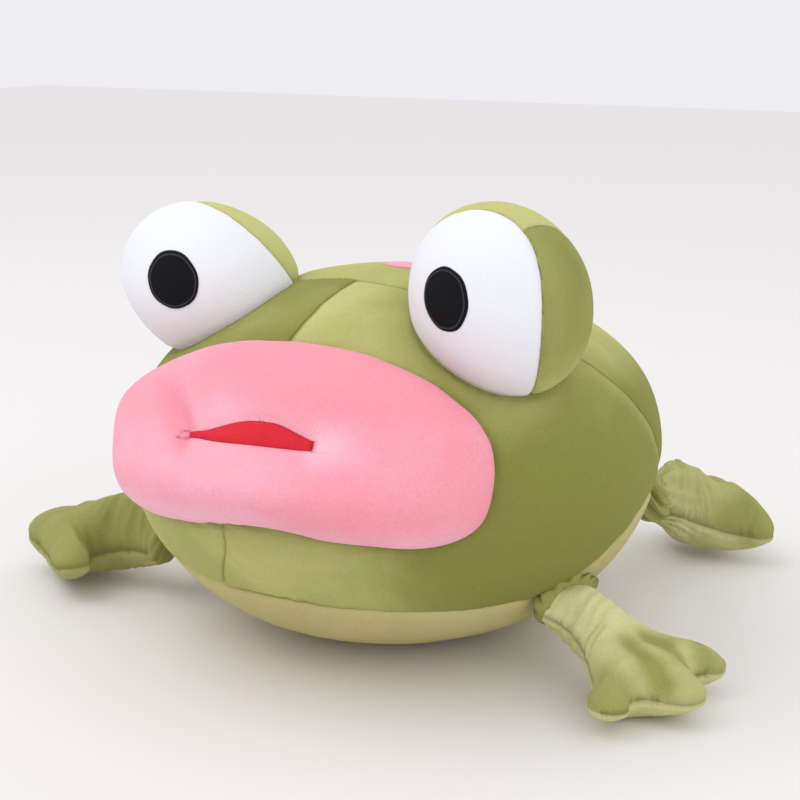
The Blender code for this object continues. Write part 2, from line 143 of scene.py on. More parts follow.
# Velour
# All the cloth is short-pile velour. Its pile lies in brushed patches that catch the light
# unlike each other. Marks on the mesh lighten or darken it, partly as painted light and shade,
# and a darker colour along the seams and joins is painted shade in their grooves.
pile_turn, nap_noise_share, nap_range = (0.6, 0.4, 0.9), 0.42, (0.02, 0.47)
patch_detail, patch_roughness, patch_distortion = 3.0, 0.55, 0.8
mottle_scale, mottle_detail, mottle_roughness, mottle_range_ends = 650.0, 3.0, 0.7, (0.3, 0.7)
pile_scale, pile_detail, pile_relief, velour_roughness = 1300.0, 2.0, 0.6, (0.78, 0.95)
velour_gloss, sheen_roughness = 0.15, 0.45


def velour_group():
    """A node group that shades the pile: brushed patches, fine fibres and painted shade at the seams."""
    group = bpy.data.node_groups.new("velour pile", "ShaderNodeTree")
    for name, kind, value in (("Light Nap", "Color", (0.5, 0.5, 0.5, 1)),
                              ("Dark Nap", "Color", (0.3, 0.3, 0.3, 1)),
                              ("Seam Shade Colour", "Color", (0.1, 0.1, 0.1, 1)),
                              ("Patch Scale", "Float", 9.0), ("Mottle", "Float", 0.08),
                              ("Pile Depth", "Float", 0.0005)):
        socket = group.interface.new_socket(name, in_out="INPUT", socket_type="NodeSocket" + kind)
        socket.default_value = value
    for name, kind in (("Colour", "Color"), ("Roughness", "Float"), ("Normal", "Vector")):
        group.interface.new_socket(name, in_out="OUTPUT", socket_type="NodeSocket" + kind)
    given, result = group.nodes.new("NodeGroupInput"), group.nodes.new("NodeGroupOutput")
    place = add_node(group, "TexCoord")

    turned = add_node(group, "Mapping", {"Rotation": pile_turn})
    patches = add_node(group, "TexNoise", {"Detail": patch_detail, "Roughness": patch_roughness,
                                           "Distortion": patch_distortion})
    # The mark read here shifts the patches lighter or darker, partly as painted light and shade.
    nap_and_light_mark = add_node(group, "Attribute", attribute_name="nap_and_painted_light")
    laid = add_node(group, "Math", {1: nap_noise_share}, operation="MULTIPLY_ADD")
    patch_range = add_node(group, "MapRange", {"From Min": nap_range[0], "From Max": nap_range[1]},
                           interpolation_type="SMOOTHSTEP")
    nap_and_painted_light = add_node(group, "Mix", data_type="RGBA")
    connect(group, (place, "Object", turned, "Vector"), (turned, "Vector", patches, "Vector"),
            (given, "Patch Scale", patches, "Scale"), (patches, "Fac", laid, 0), (nap_and_light_mark, "Fac", laid, 2),
            (laid, "Value", patch_range, "Value"), (patch_range, "Result", nap_and_painted_light, "Factor"),
            (given, "Dark Nap", nap_and_painted_light, "A"), (given, "Light Nap", nap_and_painted_light, "B"))

    mottle = add_node(group, "TexNoise", {"Scale": mottle_scale, "Detail": mottle_detail,
                                          "Roughness": mottle_roughness})
    mottle_range = add_node(group, "MapRange", {"From Min": mottle_range_ends[0],
                                                "From Max": mottle_range_ends[1]})
    darkest = add_node(group, "Math", {0: 1.0}, operation="SUBTRACT")
    lightest = add_node(group, "Math", {0: 1.0})
    mottled = add_node(group, "VectorMath", operation="SCALE")
    connect(group, (place, "Object", mottle, "Vector"), (given, "Mottle", darkest, 1),
            (given, "Mottle", lightest, 1), (darkest, "Value", mottle_range, "To Min"),
            (lightest, "Value", mottle_range, "To Max"), (mottle, "Fac", mottle_range, "Value"),
            (nap_and_painted_light, "Result", mottled, 0), (mottle_range, "Result", mottled, "Scale"))

    # Painted shade: a darker seam colour is mixed in where the mesh marks seams and joins.
    seam = add_node(group, "Attribute", attribute_name="seam")
    seam_shade_mix = add_node(group, "Mix", data_type="RGBA")
    connect(group, (seam, "Fac", seam_shade_mix, "Factor"), (mottled, "Vector", seam_shade_mix, "A"),
            (given, "Seam Shade Colour", seam_shade_mix, "B"), (seam_shade_mix, "Result", result, "Colour"))

    rough = add_node(group, "MapRange", {"To Min": velour_roughness[0], "To Max": velour_roughness[1]})
    fibres = add_node(group, "TexNoise", {"Scale": pile_scale, "Detail": pile_detail})
    height = add_node(group, "Math", operation="ADD")
    bump = add_node(group, "Bump", {"Strength": pile_relief})
    connect(group, (patches, "Fac", rough, "Value"), (rough, "Result", result, "Roughness"),
            (place, "Object", fibres, "Vector"), (fibres, "Fac", height, 0), (mottle, "Fac", height, 1),
            (given, "Pile Depth", bump, "Distance"), (height, "Value", bump, "Height"),
            (bump, "Normal", result, "Normal"))
    return group


velour_pile = velour_group()


def velour(name, light, dark, seam, patch_scale=9.0, pile_depth=0.0005, sheen=0.25, mottle=0.08):
    """A velour of the colours that its pile shows when brushed with and against the light, and a darker one
    painted as shade in its seams.
    """
    material = bpy.data.materials.new(name)
    material.use_nodes = True
    tree = material.node_tree
    shader = tree.nodes["Principled BSDF"]
    pile = add_node(tree, "Group", {"Light Nap": (*light, 1), "Dark Nap": (*dark, 1),
                                    "Seam Shade Colour": (*seam, 1), "Patch Scale": patch_scale,
                                    "Pile Depth": pile_depth, "Mottle": mottle}, node_tree=velour_pile)
    connect(tree, (pile, "Colour", shader, "Base Color"), (pile, "Roughness", shader, "Roughness"),
            (pile, "Normal", shader, "Normal"))
    set_values(shader, {"Specular IOR Level": velour_gloss, "Sheen Weight": sheen,
                        "Sheen Roughness": sheen_roughness, "Sheen Tint": (*light, 1)})
    return material


limb_velour = velour("limb velour", (0.62, 0.61, 0.30), (0.31, 0.305, 0.092), (0.13, 0.14, 0.035),
                     patch_scale=14.0)
green_velour = velour("green velour", (0.52, 0.515, 0.195), (0.225, 0.232, 0.052), (0.10, 0.105, 0.025))
belly_velour = velour("belly velour", (0.60, 0.53, 0.25), (0.45, 0.405, 0.17), (0.20, 0.17, 0.06))


# Body
# The body is four panels of velour sewn edge to edge: two face panels that meet down the
# middle, a back panel and a paler belly. They are stuffed tight, so each seam is a valley
# with puckers across it.
body_half_width, body_half_length = 0.207, 0.202
widest_height, crown_height = 0.140, 0.141
belly_roundness, belly_sink = 2.05, 0.006
seam_front_height, seam_low_height = 0.070, 0.066
seam_side_height, seam_rear_limb_height = 0.116, 0.098
seam_low_angle, seam_side_angle, rear_limb_angle = (math.radians(turn) for turn in (64, 104, 143))
back_seam_front, back_seam_tilt = 0.045, math.radians(51.4)
cloth_thickness = 0.0012
seam_depth, seam_reach = 0.0032, 0.0085
pucker_height, pucker_reach, pucker_length = 0.0011, 0.014, 0.011
pucker_stretch, pucker_least, pucker_gain = 0.22, 0.45, 1.6
lump_height, lump_length = 0.0022, 0.13
body_segments, belly_rings, back_rings = 256, 36, 72
centre_seam_side = 0.006
centre_seam_stray, centre_seam_stray_from, centre_seam_stray_over = 0.0125, 0.24, 0.11
centre_seam_foot, centre_seam_foot_from, centre_seam_foot_over = 0.015, 0.115, 0.045


def smooth_step(share):
    """A share held between 0 and 1 that starts and ends gently."""
    share = np.clip(share, 0, 1)
    return share * share * (3 - 2 * share)


def between(start, end, share):
    """The value at a share of the way from one to another."""
    return start + (end - start) * share


def rounder_min(a, b, width):
    """The lesser of two distances, with the corner between them rounded."""
    share = np.clip(0.5 + 0.5 * (b - a) / width, 0, 1)
    return between(b, a, share) - width * share * (1 - share)


def soft_noise(points, length, seed):
    """Noise of about -1 to 1 whose features are as long as told."""
    shift = Vector((seed * 3.7, seed * 1.3, seed * 5.1))
    return np.array([noise.noise(Vector(point) / length + shift) for point in points])


def valley(distance, depth=seam_depth, reach=seam_reach):
    """How far a seam draws the cloth in at a distance from it."""
    return depth * (1 - np.clip(np.abs(distance) / reach, 0, 1)) ** 2


def puckers(along, distance, seed, height=pucker_height, reach=pucker_reach):
    """Small folds that run across a seam, strongest beside it."""
    points = np.column_stack((along, distance * pucker_stretch, np.zeros(len(along))))
    bunched = smooth_step(soft_noise(points, pucker_length * 6, seed + 1) * 1.5 + 0.5)
    strength = between(pucker_least, 1, bunched)
    fading = np.exp(-(distance / reach) ** 2)
    return height * strength * fading * soft_noise(points, pucker_length, seed) * pucker_gain


def places(bm):
    """Where a mesh's points are."""
    return np.array([vert.co for vert in bm.verts])


def directions(bm):
    """Which way is straight out of the cloth at each point."""
    bm.normal_update()
    return np.array([vert.normal for vert in bm.verts])


def move_to(bm, points):
    """Puts a mesh's points where told."""
    for vert, point in zip(bm.verts, points):
        vert.co = point
    bm.normal_update()


def total(values, face):
    """The sum of the values at a face's points."""
    return sum(values[vert.index] for vert in face.verts)


def mark(bm, name, values):
    """Stores a value at each point for a material to read, such as painted shade at seams or a pile tone that
    is partly painted light and shade.
    """
    layer = bm.verts.layers.float.get(name) or bm.verts.layers.float.new(name)
    for vert, value in zip(bm.verts, values):
        vert[layer] = float(value)


def cloth_piece(name, bm, tag, material, thickness=cloth_thickness):
    """Makes the faces with a tag into a piece of cloth of its own, thickened inward."""
    part = bm.copy()
    others = [face for face in part.faces if face.material_index != tag]
    bmesh.ops.delete(part, geom=others, context="FACES")
    for face in part.faces:
        face.material_index = 0
        face.smooth = True
    mesh = bpy.data.meshes.new(name)
    part.to_mesh(mesh)
    part.free()
    mesh.materials.append(material)
    piece = bpy.data.objects.new(name, mesh)
    bpy.context.scene.collection.objects.link(piece)
    if thickness:
        solidify = piece.modifiers.new("cloth", "SOLIDIFY")
        solidify.thickness = thickness
        solidify.offset = -1
    return piece


def seam_height(angle):
    """Height of the belly seam at an angle round the body, 0 at the front and pi at the back."""
    angle = np.abs(angle)
    front = between(seam_front_height, seam_low_height, smooth_step(angle / seam_low_angle))
    rise = smooth_step((angle - seam_low_angle) / (seam_side_angle - seam_low_angle))
    fall = smooth_step((angle - seam_side_angle) / (rear_limb_angle - seam_side_angle))
    return np.where(angle < seam_side_angle, between(front, seam_side_height, rise),
                    between(seam_side_height, seam_rear_limb_height, fall))


def seam_turn(angle):
    """How far below the widest level the belly seam lies, as the turn of a quarter circle."""
    share = (widest_height - seam_height(angle)) / (widest_height + belly_sink)
    return -np.arcsin(np.clip(share, 0, 1) ** (belly_roundness / 2))


def body_points(angle, turn):
    """Points of the body's skin at angles round it and turns up from its widest level."""
    down = np.sin(np.clip(-turn, 0, None))
    out = np.where(turn < 0, np.clip(np.cos(turn), 0, 1) ** (2 / belly_roundness), np.cos(turn))
    height = np.where(turn < 0, widest_height - (widest_height + belly_sink) * down ** (2 / belly_roundness),
                      widest_height + crown_height * np.sin(np.clip(turn, 0, None)))
    return np.column_stack((body_half_width * out * np.sin(angle), -body_half_length * out * np.cos(angle),
                            height))


def centre_seam_place(height):
    """How far the seam down the face strays from the middle, at a height."""
    stray = centre_seam_stray * smooth_step((centre_seam_stray_from - height) / centre_seam_stray_over)
    foot = centre_seam_foot * smooth_step((centre_seam_foot_from - height) / centre_seam_foot_over)
    return -centre_seam_side - (stray + foot)


def unit_ball(segments, rings):
    """A ball of radius 1 and the places of its points, to be moved into a form."""
    ball = bmesh.new()
    bmesh.ops.create_uvsphere(ball, u_segments=segments, v_segments=rings, radius=1)
    return ball, places(ball)


def body_form(segments, lower, upper):
    """The body's closed skin as a bmesh, tagged 1 on the belly and 0 above its seam."""
    rings = lower + upper
    bm, unit = unit_ball(segments, rings)
    spin = np.arctan2(unit[:, 0], -unit[:, 1])
    angle = spin - 0.5 * np.sin(spin)
    ring = np.round((np.arcsin(np.clip(unit[:, 2], -1, 1)) / math.pi + 0.5) * rings)
    seam = seam_turn(angle)
    below = between(-math.pi / 2, seam, 1 - (1 - np.clip(ring / lower, 0, 1)) ** 1.5)
    above = between(seam, math.pi / 2, np.clip((ring - lower) / upper, 0, 1) ** 1.35)
    turn = np.where(ring < lower, below, above)
    plain = body_points(angle, turn)
    out = np.hypot(plain[:, 0], plain[:, 1])
    stray = np.clip(centre_seam_place(plain[:, 2]) / np.maximum(out, 0.03), -0.3, 0.3)
    angle = angle + stray * np.exp(-(angle / 0.8) ** 2) * smooth_step((turn + 1.2) / 0.5)
    move_to(bm, body_points(angle, turn))
    level = math.sin((lower / rings - 0.5) * math.pi)
    heights = {vert: height for vert, height in zip(bm.verts, unit[:, 2])}
    for face in bm.faces:
        face.material_index = int(sum(heights[vert] for vert in face.verts) / len(face.verts) < level)
    return bm


def plane_loops(bm, point, normal, offsets, merge=0.0004):
    """Cuts loops of edges into a mesh along a plane and others beside it."""
    for offset in offsets:
        geometry = bm.verts[:] + bm.edges[:] + bm.faces[:]
        bmesh.ops.bisect_plane(bm, geom=geometry, dist=merge, plane_co=point + normal * offset,
                               plane_no=normal)


body = body_form(body_segments, belly_rings, back_rings)
back_seam_offsets = (0, 0.0015, -0.0015, 0.0035, -0.0035, 0.006, -0.006)
crown = Vector((0, -back_seam_front, widest_height + crown_height))
backward = Vector((0, math.sin(back_seam_tilt), math.cos(back_seam_tilt)))
plane_loops(body, crown, backward, back_seam_offsets)
body_rest = body.copy()


# Eyes
# Each eye is a stuffed egg sewn on the front of the crown, leaning outward: white velour in
# front and two green panels behind, an inner one over the top and an outer one.
# Each eye's half width, half depth, half height, widening upward and sideways bend.
eye_shapes = {1: (0.0703, 0.0622, 0.0670, 0.02, -0.0045), -1: (0.0625, 0.0720, 0.0675, 0.02, -0.014)}
eye_side, eye_front, eye_height, right_eye_droop = 0.125, 0.063, 0.2758, 0.0090
eye_turn_in, eye_lean_forward, eye_lean_out = (math.radians(turn) for turn in (25, 10, 20))
eye_cap_side, eye_cap_slant = 0.0142, 0.15
left_seam_lean, left_seam_bow, left_seam_rise = 0.165, 5.35, 1.3
right_seam_start, right_seam_lean, right_seam_slope, right_seam_back = 0.058, 1.205, 0.382, 0.030
eye_segments, eye_rings = 120, 76

white_velour = velour("white velour", (0.80, 0.80, 0.84), (0.76, 0.76, 0.80), (0.55, 0.55, 0.52),
                      patch_scale=14.0, pile_depth=0.0003, sheen=0.1, mottle=0.02)


def eye_frame(side):
    """Where an eye stands: side is 1 for the frog's left eye and -1 for its right."""
    height = eye_height - (right_eye_droop if side < 0 else 0)
    place = Matrix.Translation((side * eye_side, -eye_front, height))
    turn = Matrix.Rotation(-side * eye_turn_in, 4, "Z")
    lean_out = Matrix.Rotation(side * eye_lean_out, 4, "Y")
    return place @ turn @ lean_out @ Matrix.Rotation(eye_lean_forward, 4, "X")


def eye_form(segments, rings, side):
    """An eye's closed skin in its own frame, narrower at the foot and bent sideways at the top."""
    half_width, half_depth, half_height, taper_share, bend = eye_shapes[side]
    bm, unit = unit_ball(segments, rings)
    taper = 1 + taper_share * unit[:, 2]
    across = half_width * unit[:, 0] * taper + bend * unit[:, 2]
    move_to(bm, np.column_stack((across, half_depth * unit[:, 1] * taper, half_height * unit[:, 2])))
    return bm


def eye_seam_back(side, across, up):
    """How far behind an eye's middle its white panel ends, across and up from the middle."""
    if side > 0:
        bow = left_seam_bow * across ** 2
        return left_seam_lean * across - bow + left_seam_rise * np.clip(up - 0.02, 0, None) ** 2
    slanted = right_seam_start - right_seam_lean * across - right_seam_slope * up
    return rounder_min(slanted, right_seam_back, 0.020)


# Lips
# The lips are one padded oval of pink velour that wraps round the face and is sewn on
# along its edge. The mouth is a slit of red velour, drawn in at the middle.
lips_half_width, lips_half_height = 0.166, 0.068
lips_bulge, lips_root_depth = 0.056, 0.060
lips_front, lips_height, lips_tilt = 0.176, 0.186, math.radians(27)
lips_wrap_radius = 0.26
lips_swell = 1.006
lips_waves = ((0.0591, 0.0060), (-0.0085, 0.0467), (-0.0030, -0.0262), (-0.0321, -0.0399),
              (-0.0112, 0.0220))
mouth_half_length, mouth_half_height, mouth_side = 0.0452, 0.0125, 0.0078
mouth_dip, mouth_dip_reach, mouth_drop, mouth_roll = 0.020, 0.040, 0.007, math.radians(-4)
mouth_share, mouth_thinnest = 0.24, 0.17
lips_segments, lips_rings, mouth_rings = 224, 88, 12

pink_velour = velour("pink velour", (0.92, 0.50, 0.60), (0.88, 0.31, 0.38), (0.50, 0.12, 0.12),
                     patch_scale=8.0, pile_depth=0.0004, sheen=0.2)
red_velour = velour("red velour", (0.78, 0.037, 0.052), (0.62, 0.020, 0.035), (0.25, 0.01, 0.01),
                    patch_scale=20.0, pile_depth=0.0004, sheen=0.1)


def mouth_edge(angle):
    """How far the mouth's edge stands up or down from its middle line, by the angle round it."""
    across = np.cos(angle)
    arch = smooth_step((across + 0.85) / 0.95) * between(1, 0.06, smooth_step((across - 0.30) / 0.80))
    rise = mouth_thinnest + 0.83 * arch
    sag = smooth_step((across + 1) / 0.7) * (1 - 0.35 * smooth_step((across - 0.75) / 0.25))
    fall = mouth_thinnest + 0.18 * sag
    tips = smooth_step(np.abs(np.sin(angle)) / 0.16)
    return mouth_half_height * tips * np.where(np.sin(angle) >= 0, rise, -fall)


def lips_outline(angle):
    """How far the hand-sewn edge strays from a true oval, as a share, by the angle round it."""
    swell = np.full(len(angle), lips_swell)
    for turns, (even, odd) in enumerate(lips_waves, 1):
        swell += even * np.cos(turns * angle) + odd * np.sin(turns * angle)
    return swell


def lips_points(out, angle, outer):
    """Points of the lips, from 0 at the mouth's middle to 1 at the edge, on the outer or the root side."""
    spread = np.clip((out - mouth_share) / (1 - mouth_share), 0, 1)
    inside = np.clip(out / mouth_share, 0, 1)
    swell = between(1, lips_outline(angle), np.where(outer, smooth_step(spread), out))
    cosine, sine = np.cos(angle) * swell, np.sin(angle) * swell
    across = np.where(outer, between(mouth_half_length * inside, lips_half_width, spread),
                      lips_half_width * out) * cosine
    across = across + mouth_side * np.where(outer, 1 - smooth_step(spread), 0)
    mouth_up = mouth_edge(angle) * inside
    ring_up = between(mouth_half_height * 0.8, lips_half_height, spread) * sine
    up = np.where(outer, between(mouth_up, ring_up, smooth_step(spread * 2.5)),
                  lips_half_height * out * sine)
    rise = np.sqrt(np.clip(1 - out * out, 0, 1))
    from_mouth = spread * lips_half_height / mouth_dip_reach
    forward = np.where(outer, lips_bulge * rise - mouth_dip * np.exp(-from_mouth * from_mouth),
                       -lips_root_depth * rise)
    drop = (mouth_drop + across * math.tan(mouth_roll)) * smooth_step(1 - spread)
    up = np.where(outer, up - drop, up)
    wrap = across / lips_wrap_radius
    reach = lips_wrap_radius + forward
    return np.column_stack((reach * np.sin(wrap), lips_wrap_radius - reach * np.cos(wrap), up))


def lips_form(segments, rings):
    """The lips' closed skin in place, tagged 1 inside the mouth's edge and 0 outside it."""
    bm, unit = unit_ball(segments, rings)
    ring = np.round(np.arccos(np.clip(unit[:, 2], -1, 1)) / math.pi * rings)
    half = rings / 2
    front_turn = between(0, math.asin(mouth_share), ring / mouth_rings)
    beyond = np.clip((ring - mouth_rings) / (half - mouth_rings), 0, 1)
    outer_turn = between(math.asin(mouth_share), math.pi / 2, beyond ** 1.15)
    turn = np.where(ring <= mouth_rings, front_turn, outer_turn)
    turn = np.where(ring > half, math.pi / 2 * ring / half, turn)
    out = np.sin(turn)
    angle = np.arctan2(unit[:, 1], unit[:, 0])
    points = lips_points(out, angle, ring <= half)
    stand = Matrix.Translation((0, -lips_front, lips_height)) @ Matrix.Rotation(-lips_tilt, 4, "X")
    move_to(bm, [stand @ Vector(point) for point in points])
    rings_of = {vert: count for vert, count in zip(bm.verts, ring)}
    for face in bm.faces:
        face.material_index = int(max(rings_of[vert] for vert in face.verts) <= mouth_rings)
    bmesh.ops.recalc_face_normals(bm, faces=bm.faces)
    return bm


# Joins
# The eyes and the lips are sewn on by hand all round, which draws both cloths in along
# the join.
join_depth, join_reach = 0.0014, 0.008


class Skin:
    """A form's surface, to find how far other points stand from it."""

    def __init__(self, bm, stand=Matrix()):
        copy = bm.copy()
        copy.transform(stand)
        copy.normal_update()
        self.tree = BVHTree.FromBMesh(copy)
        copy.free()

    def outside(self, points):
        """How far points stand outside the surface, below 0 inside it."""
        heights = []
        for point in points:
            place, normal, _, distance = self.tree.find_nearest(Vector(point))
            heights.append(math.copysign(distance, (Vector(point) - place).dot(normal)))
        return np.array(heights)


def join_valley(height):
    """How far a join draws cloth in, by its height over the other skin."""
    return join_depth * (1 - np.clip(height / join_reach, 0, 1)) ** 2


def seam_shade(distance, reach, darkest):
    """How strongly a mark shows at a distance from a seam or line: painted shade in seam grooves and at
    joins, or the pupils' paler thread line.
    """
    return darkest * np.exp(-(np.abs(distance) / reach) ** 2)


body_skin = Skin(body_rest)
plain_eye_facets, plain_lips_facets = (64, 44), (96, 64)
eye_skins = {side: Skin(eye_form(*plain_eye_facets, side), eye_frame(side)) for side in (1, -1)}
lips_skin = Skin(lips_form(*plain_lips_facets))


# Eye skins
# White and green panels meet in a seam round the eye, with fine puckers, and the seam of the
# two green ones lies flatter. Fibre fills the egg.
eye_seam_offsets = (0, 0.0014, -0.0014, 0.0035, -0.0035, 0.0065, -0.0065)
eye_seam_depth, eye_seam_reach, eye_seam_half_width, eye_seam_shade = 0.0026, 0.0075, 0.0009, 0.25
cap_seam_offsets = (0, 0.0009, -0.0009, 0.002, -0.002)
cap_seam_depth, cap_seam_reach, cap_seam_shade = 0.0012, 0.0045, 0.50
eye_join_half_width, eye_join_shade = 0.0012, 0.35
eye_pucker_height, eye_pucker_reach = 0.00045, 0.010
eye_lump_height, eye_lump_length, eye_merge = 0.0012, 0.055, 0.0003
# The cap and low values are painted light; the white and back values are the panels' own tone.
white_nap, cap_painted_light, back_nap, low_bounce_light = 0.2, 0.34, -0.06, 0.28
fibre_depth = 0.005


def plain_noise_material(name, light, dark, scale, depth, roughness, specular=0.2, lines=None):
    """A material whose colour and relief come from one fine noise, with paler lines if told."""
    material = bpy.data.materials.new(name)
    material.use_nodes = True
    tree = material.node_tree
    shader = tree.nodes["Principled BSDF"]
    set_values(shader, {"Roughness": roughness, "Specular IOR Level": specular})
    place = add_node(tree, "TexCoord")
    fine = add_node(tree, "TexNoise", {"Scale": scale, "Detail": 4.0})
    mix = add_node(tree, "Mix", {"A": (*dark, 1), "B": (*light, 1)}, data_type="RGBA")
    bump = add_node(tree, "Bump", {"Distance": depth})
    connect(tree, (place, "Object", fine, "Vector"), (fine, "Fac", mix, "Factor"),
            (fine, "Fac", bump, "Height"), (bump, "Normal", shader, "Normal"))
    if lines is None:
        connect(tree, (mix, "Result", shader, "Base Color"))
        return material
    line = add_node(tree, "Attribute", attribute_name="seam")
    line_mix = add_node(tree, "Mix", {"B": (*lines, 1)}, data_type="RGBA")
    connect(tree, (line, "Fac", line_mix, "Factor"), (mix, "Result", line_mix, "A"),
            (line_mix, "Result", shader, "Base Color"))
    return material


fibre = plain_noise_material("fibre filling", (0.86, 0.85, 0.82), (0.60, 0.59, 0.56), 160.0, 0.002, 0.95)


def lean_seam(eye, side, way):
    """Moves an eye's points so that its seam lies in a flat plane, way -1, or back again, way 1."""
    points = places(eye)
    points[:, 1] += way * eye_seam_back(side, points[:, 0], points[:, 2])
    move_to(eye, points)


def filling(name, bm, node):
    """A form drawn in under its cloth, as the fibre that fills it."""
    normals = directions(bm)
    move_to(bm, places(bm) - normals * fibre_depth)
    for face in bm.faces:
        face.material_index = 0
    piece = cloth_piece(name, bm, 0, fibre, thickness=0)
    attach(piece, "torso")
    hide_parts(node)


for side, side_name in ((1, "left"), (-1, "right")):
    stand = eye_frame(side)
    eye = eye_form(eye_segments, eye_rings, side)
    lean_seam(eye, side, -1)
    plane_loops(eye, Vector(), Vector((0, 1, 0)), eye_seam_offsets, eye_merge)
    lean_seam(eye, side, 1)
    cap_way = Vector((side, eye_cap_slant, 0)).normalized()
    plane_loops(eye, Vector((side * eye_cap_side, 0, 0)), cap_way, cap_seam_offsets, eye_merge)
    eye.verts.index_update()
    points, normals = places(eye), directions(eye)
    here, step = eye_seam_back(side, points[:, 0], points[:, 2]), 1e-4
    seam_slope = np.hypot(eye_seam_back(side, points[:, 0] + step, points[:, 2]) - here,
                          eye_seam_back(side, points[:, 0], points[:, 2] + step) - here) / step
    from_front = (points[:, 1] - here) / np.hypot(1, seam_slope)
    beside_cap = (points - (side * eye_cap_side, 0, 0)) @ np.array(cap_way)
    slope = np.sqrt(np.clip(1 - (normals @ np.array(cap_way)) ** 2, 0.2, 1))
    from_cap = np.where(from_front > -0.0005, beside_cap / slope, 1.0)
    over_body = body_skin.outside([stand @ Vector(point) for point in points])
    drawn_in = np.maximum.reduce((valley(from_front, eye_seam_depth, eye_seam_reach),
                                  valley(from_cap, cap_seam_depth, cap_seam_reach), join_valley(over_body)))
    spin = np.arctan2(points[:, 2], points[:, 0]) * eye_shapes[side][0]
    raised = puckers(spin, from_front, 11 + side, eye_pucker_height, eye_pucker_reach)
    raised += eye_lump_height * soft_noise(points, eye_lump_length, 20 + side)
    move_to(eye, points + normals * (raised - drawn_in)[:, None])
    # Painted shade darkens the seams between the panels and the eye's foot where it joins the body.
    mark(eye, "seam", np.maximum.reduce((seam_shade(from_front, eye_seam_half_width, eye_seam_shade),
                                         seam_shade(from_cap, eye_seam_half_width, cap_seam_shade),
                                         seam_shade(over_body, eye_join_half_width, eye_join_shade))))
    # Painted light: the inner green panel on top is lighter as if lit from above, and the outer one lighter
    # toward the bottom, where floor light bounces up.
    low = -low_bounce_light * np.clip(points[:, 2] / 0.05, -1, 0)
    rear_nap_and_light = np.where(beside_cap < 0, cap_painted_light, low + back_nap)
    mark(eye, "nap_and_painted_light", np.where(from_front > 0, rear_nap_and_light, white_nap))
    for face in eye.faces:
        behind = total(from_front, face) > 0
        inner = total(beside_cap, face) < 0
        face.material_index = 0 if not behind else 2 if inner else 1
    eye.transform(stand)
    for tag, label, cloth, slot in ((0, "white", white_velour, "white_velour"),
                                    (1, "back", green_velour, "green_velour"),
                                    (2, "cap", green_velour, "green_velour")):
        piece = cloth_piece(side_name + "_eye_" + label + "_velour", eye, tag, cloth)
        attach(piece, "torso")
        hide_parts(side_name + "_eye_" + label)
    eye.free()
    plain_eye = eye_form(*plain_eye_facets, side)
    plain_eye.transform(stand)
    filling(side_name + "_eye_fibre", plain_eye, side_name + "_eye_stuffing")


# Pupils
# Each pupil is an oval of black embroidery: a filled middle inside a raised rim of satin
# stitches that run across it.
# Each pupil's place across and up from the eye's middle, half width, half height and tilt.
pupils = {1: (0.0118, 0.0252, 0.0172, 0.0222, math.radians(53)),
          -1: (-0.0101, 0.0290, 0.0193, 0.0200, 0.6)}
pupil_rise, pupil_rim_rise, pupil_rim_share = 0.0007, 0.0007, 0.86
pupil_sink, pupil_lift = 0.0006, 0.0002
pupil_stitches, stitch_height, stitch_overhang = 92, 0.00016, 0.014
pupil_segments, pupil_rings = 276, 40
thread_line_place, thread_line_width, thread_line_strength = 0.891, 0.018, 0.8

black_thread = plain_noise_material("black thread", (0.008, 0.008, 0.010), (0.002, 0.002, 0.003), 900.0,
                                    0.0005, 0.62, specular=0.10, lines=(0.065, 0.065, 0.075))


def eye_front_depth(side, across, up):
    """How far the front of an eye's skin stands out, across and up from its middle."""
    half_width, half_depth, half_height, taper_share, bend = eye_shapes[side]
    taper = 1 + taper_share * up / half_height
    inner = 1 - ((across - bend * up / half_height) / (half_width * taper)) ** 2 - (up / half_height) ** 2
    return half_depth * taper * np.sqrt(np.clip(inner, 0, 1))


for side, side_name in ((1, "left"), (-1, "right")):
    pupil, unit = unit_ball(pupil_segments, pupil_rings)
    out = np.hypot(unit[:, 0], unit[:, 1])
    angle = np.arctan2(unit[:, 1], unit[:, 0])
    wobble = 1 + 0.010 * np.sin(3 * angle + side) + 0.008 * np.sin(7 * angle)
    wobble += stitch_overhang * np.cos(pupil_stitches * angle) * smooth_step((out - 0.93) / 0.07)
    middle, height, half_width, half_height, tilt = pupils[side]
    wide, high = half_width * out * np.cos(angle) * wobble, half_height * out * np.sin(angle) * wobble
    across = middle + wide * math.cos(tilt) - high * math.sin(tilt)
    up = height + wide * math.sin(tilt) + high * math.cos(tilt)
    rim = smooth_step((out - pupil_rim_share + 0.03) / 0.05)
    edge = np.sqrt(np.clip(1 - out ** 14, 0, 1))
    stitches = stitch_height * np.cos(angle * pupil_stitches) * smooth_step((out - pupil_rim_share) / 0.05)
    rise = (pupil_rise + pupil_rim_rise * rim) * edge + stitches
    raised = np.where(unit[:, 2] > 0, rise, -pupil_sink)
    depth = eye_front_depth(side, across, up) + raised + pupil_lift
    move_to(pupil, np.column_stack((across, -depth, up)))
    bmesh.ops.recalc_face_normals(pupil, faces=pupil.faces)
    mark(pupil, "seam", seam_shade(out - thread_line_place, thread_line_width, thread_line_strength))
    pupil.transform(eye_frame(side))
    piece = cloth_piece(side_name + "_pupil_embroidery", pupil, 0, black_thread, thickness=0)
    pupil.free()
    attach(piece, "torso")
    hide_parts(side_name + "_pupil")


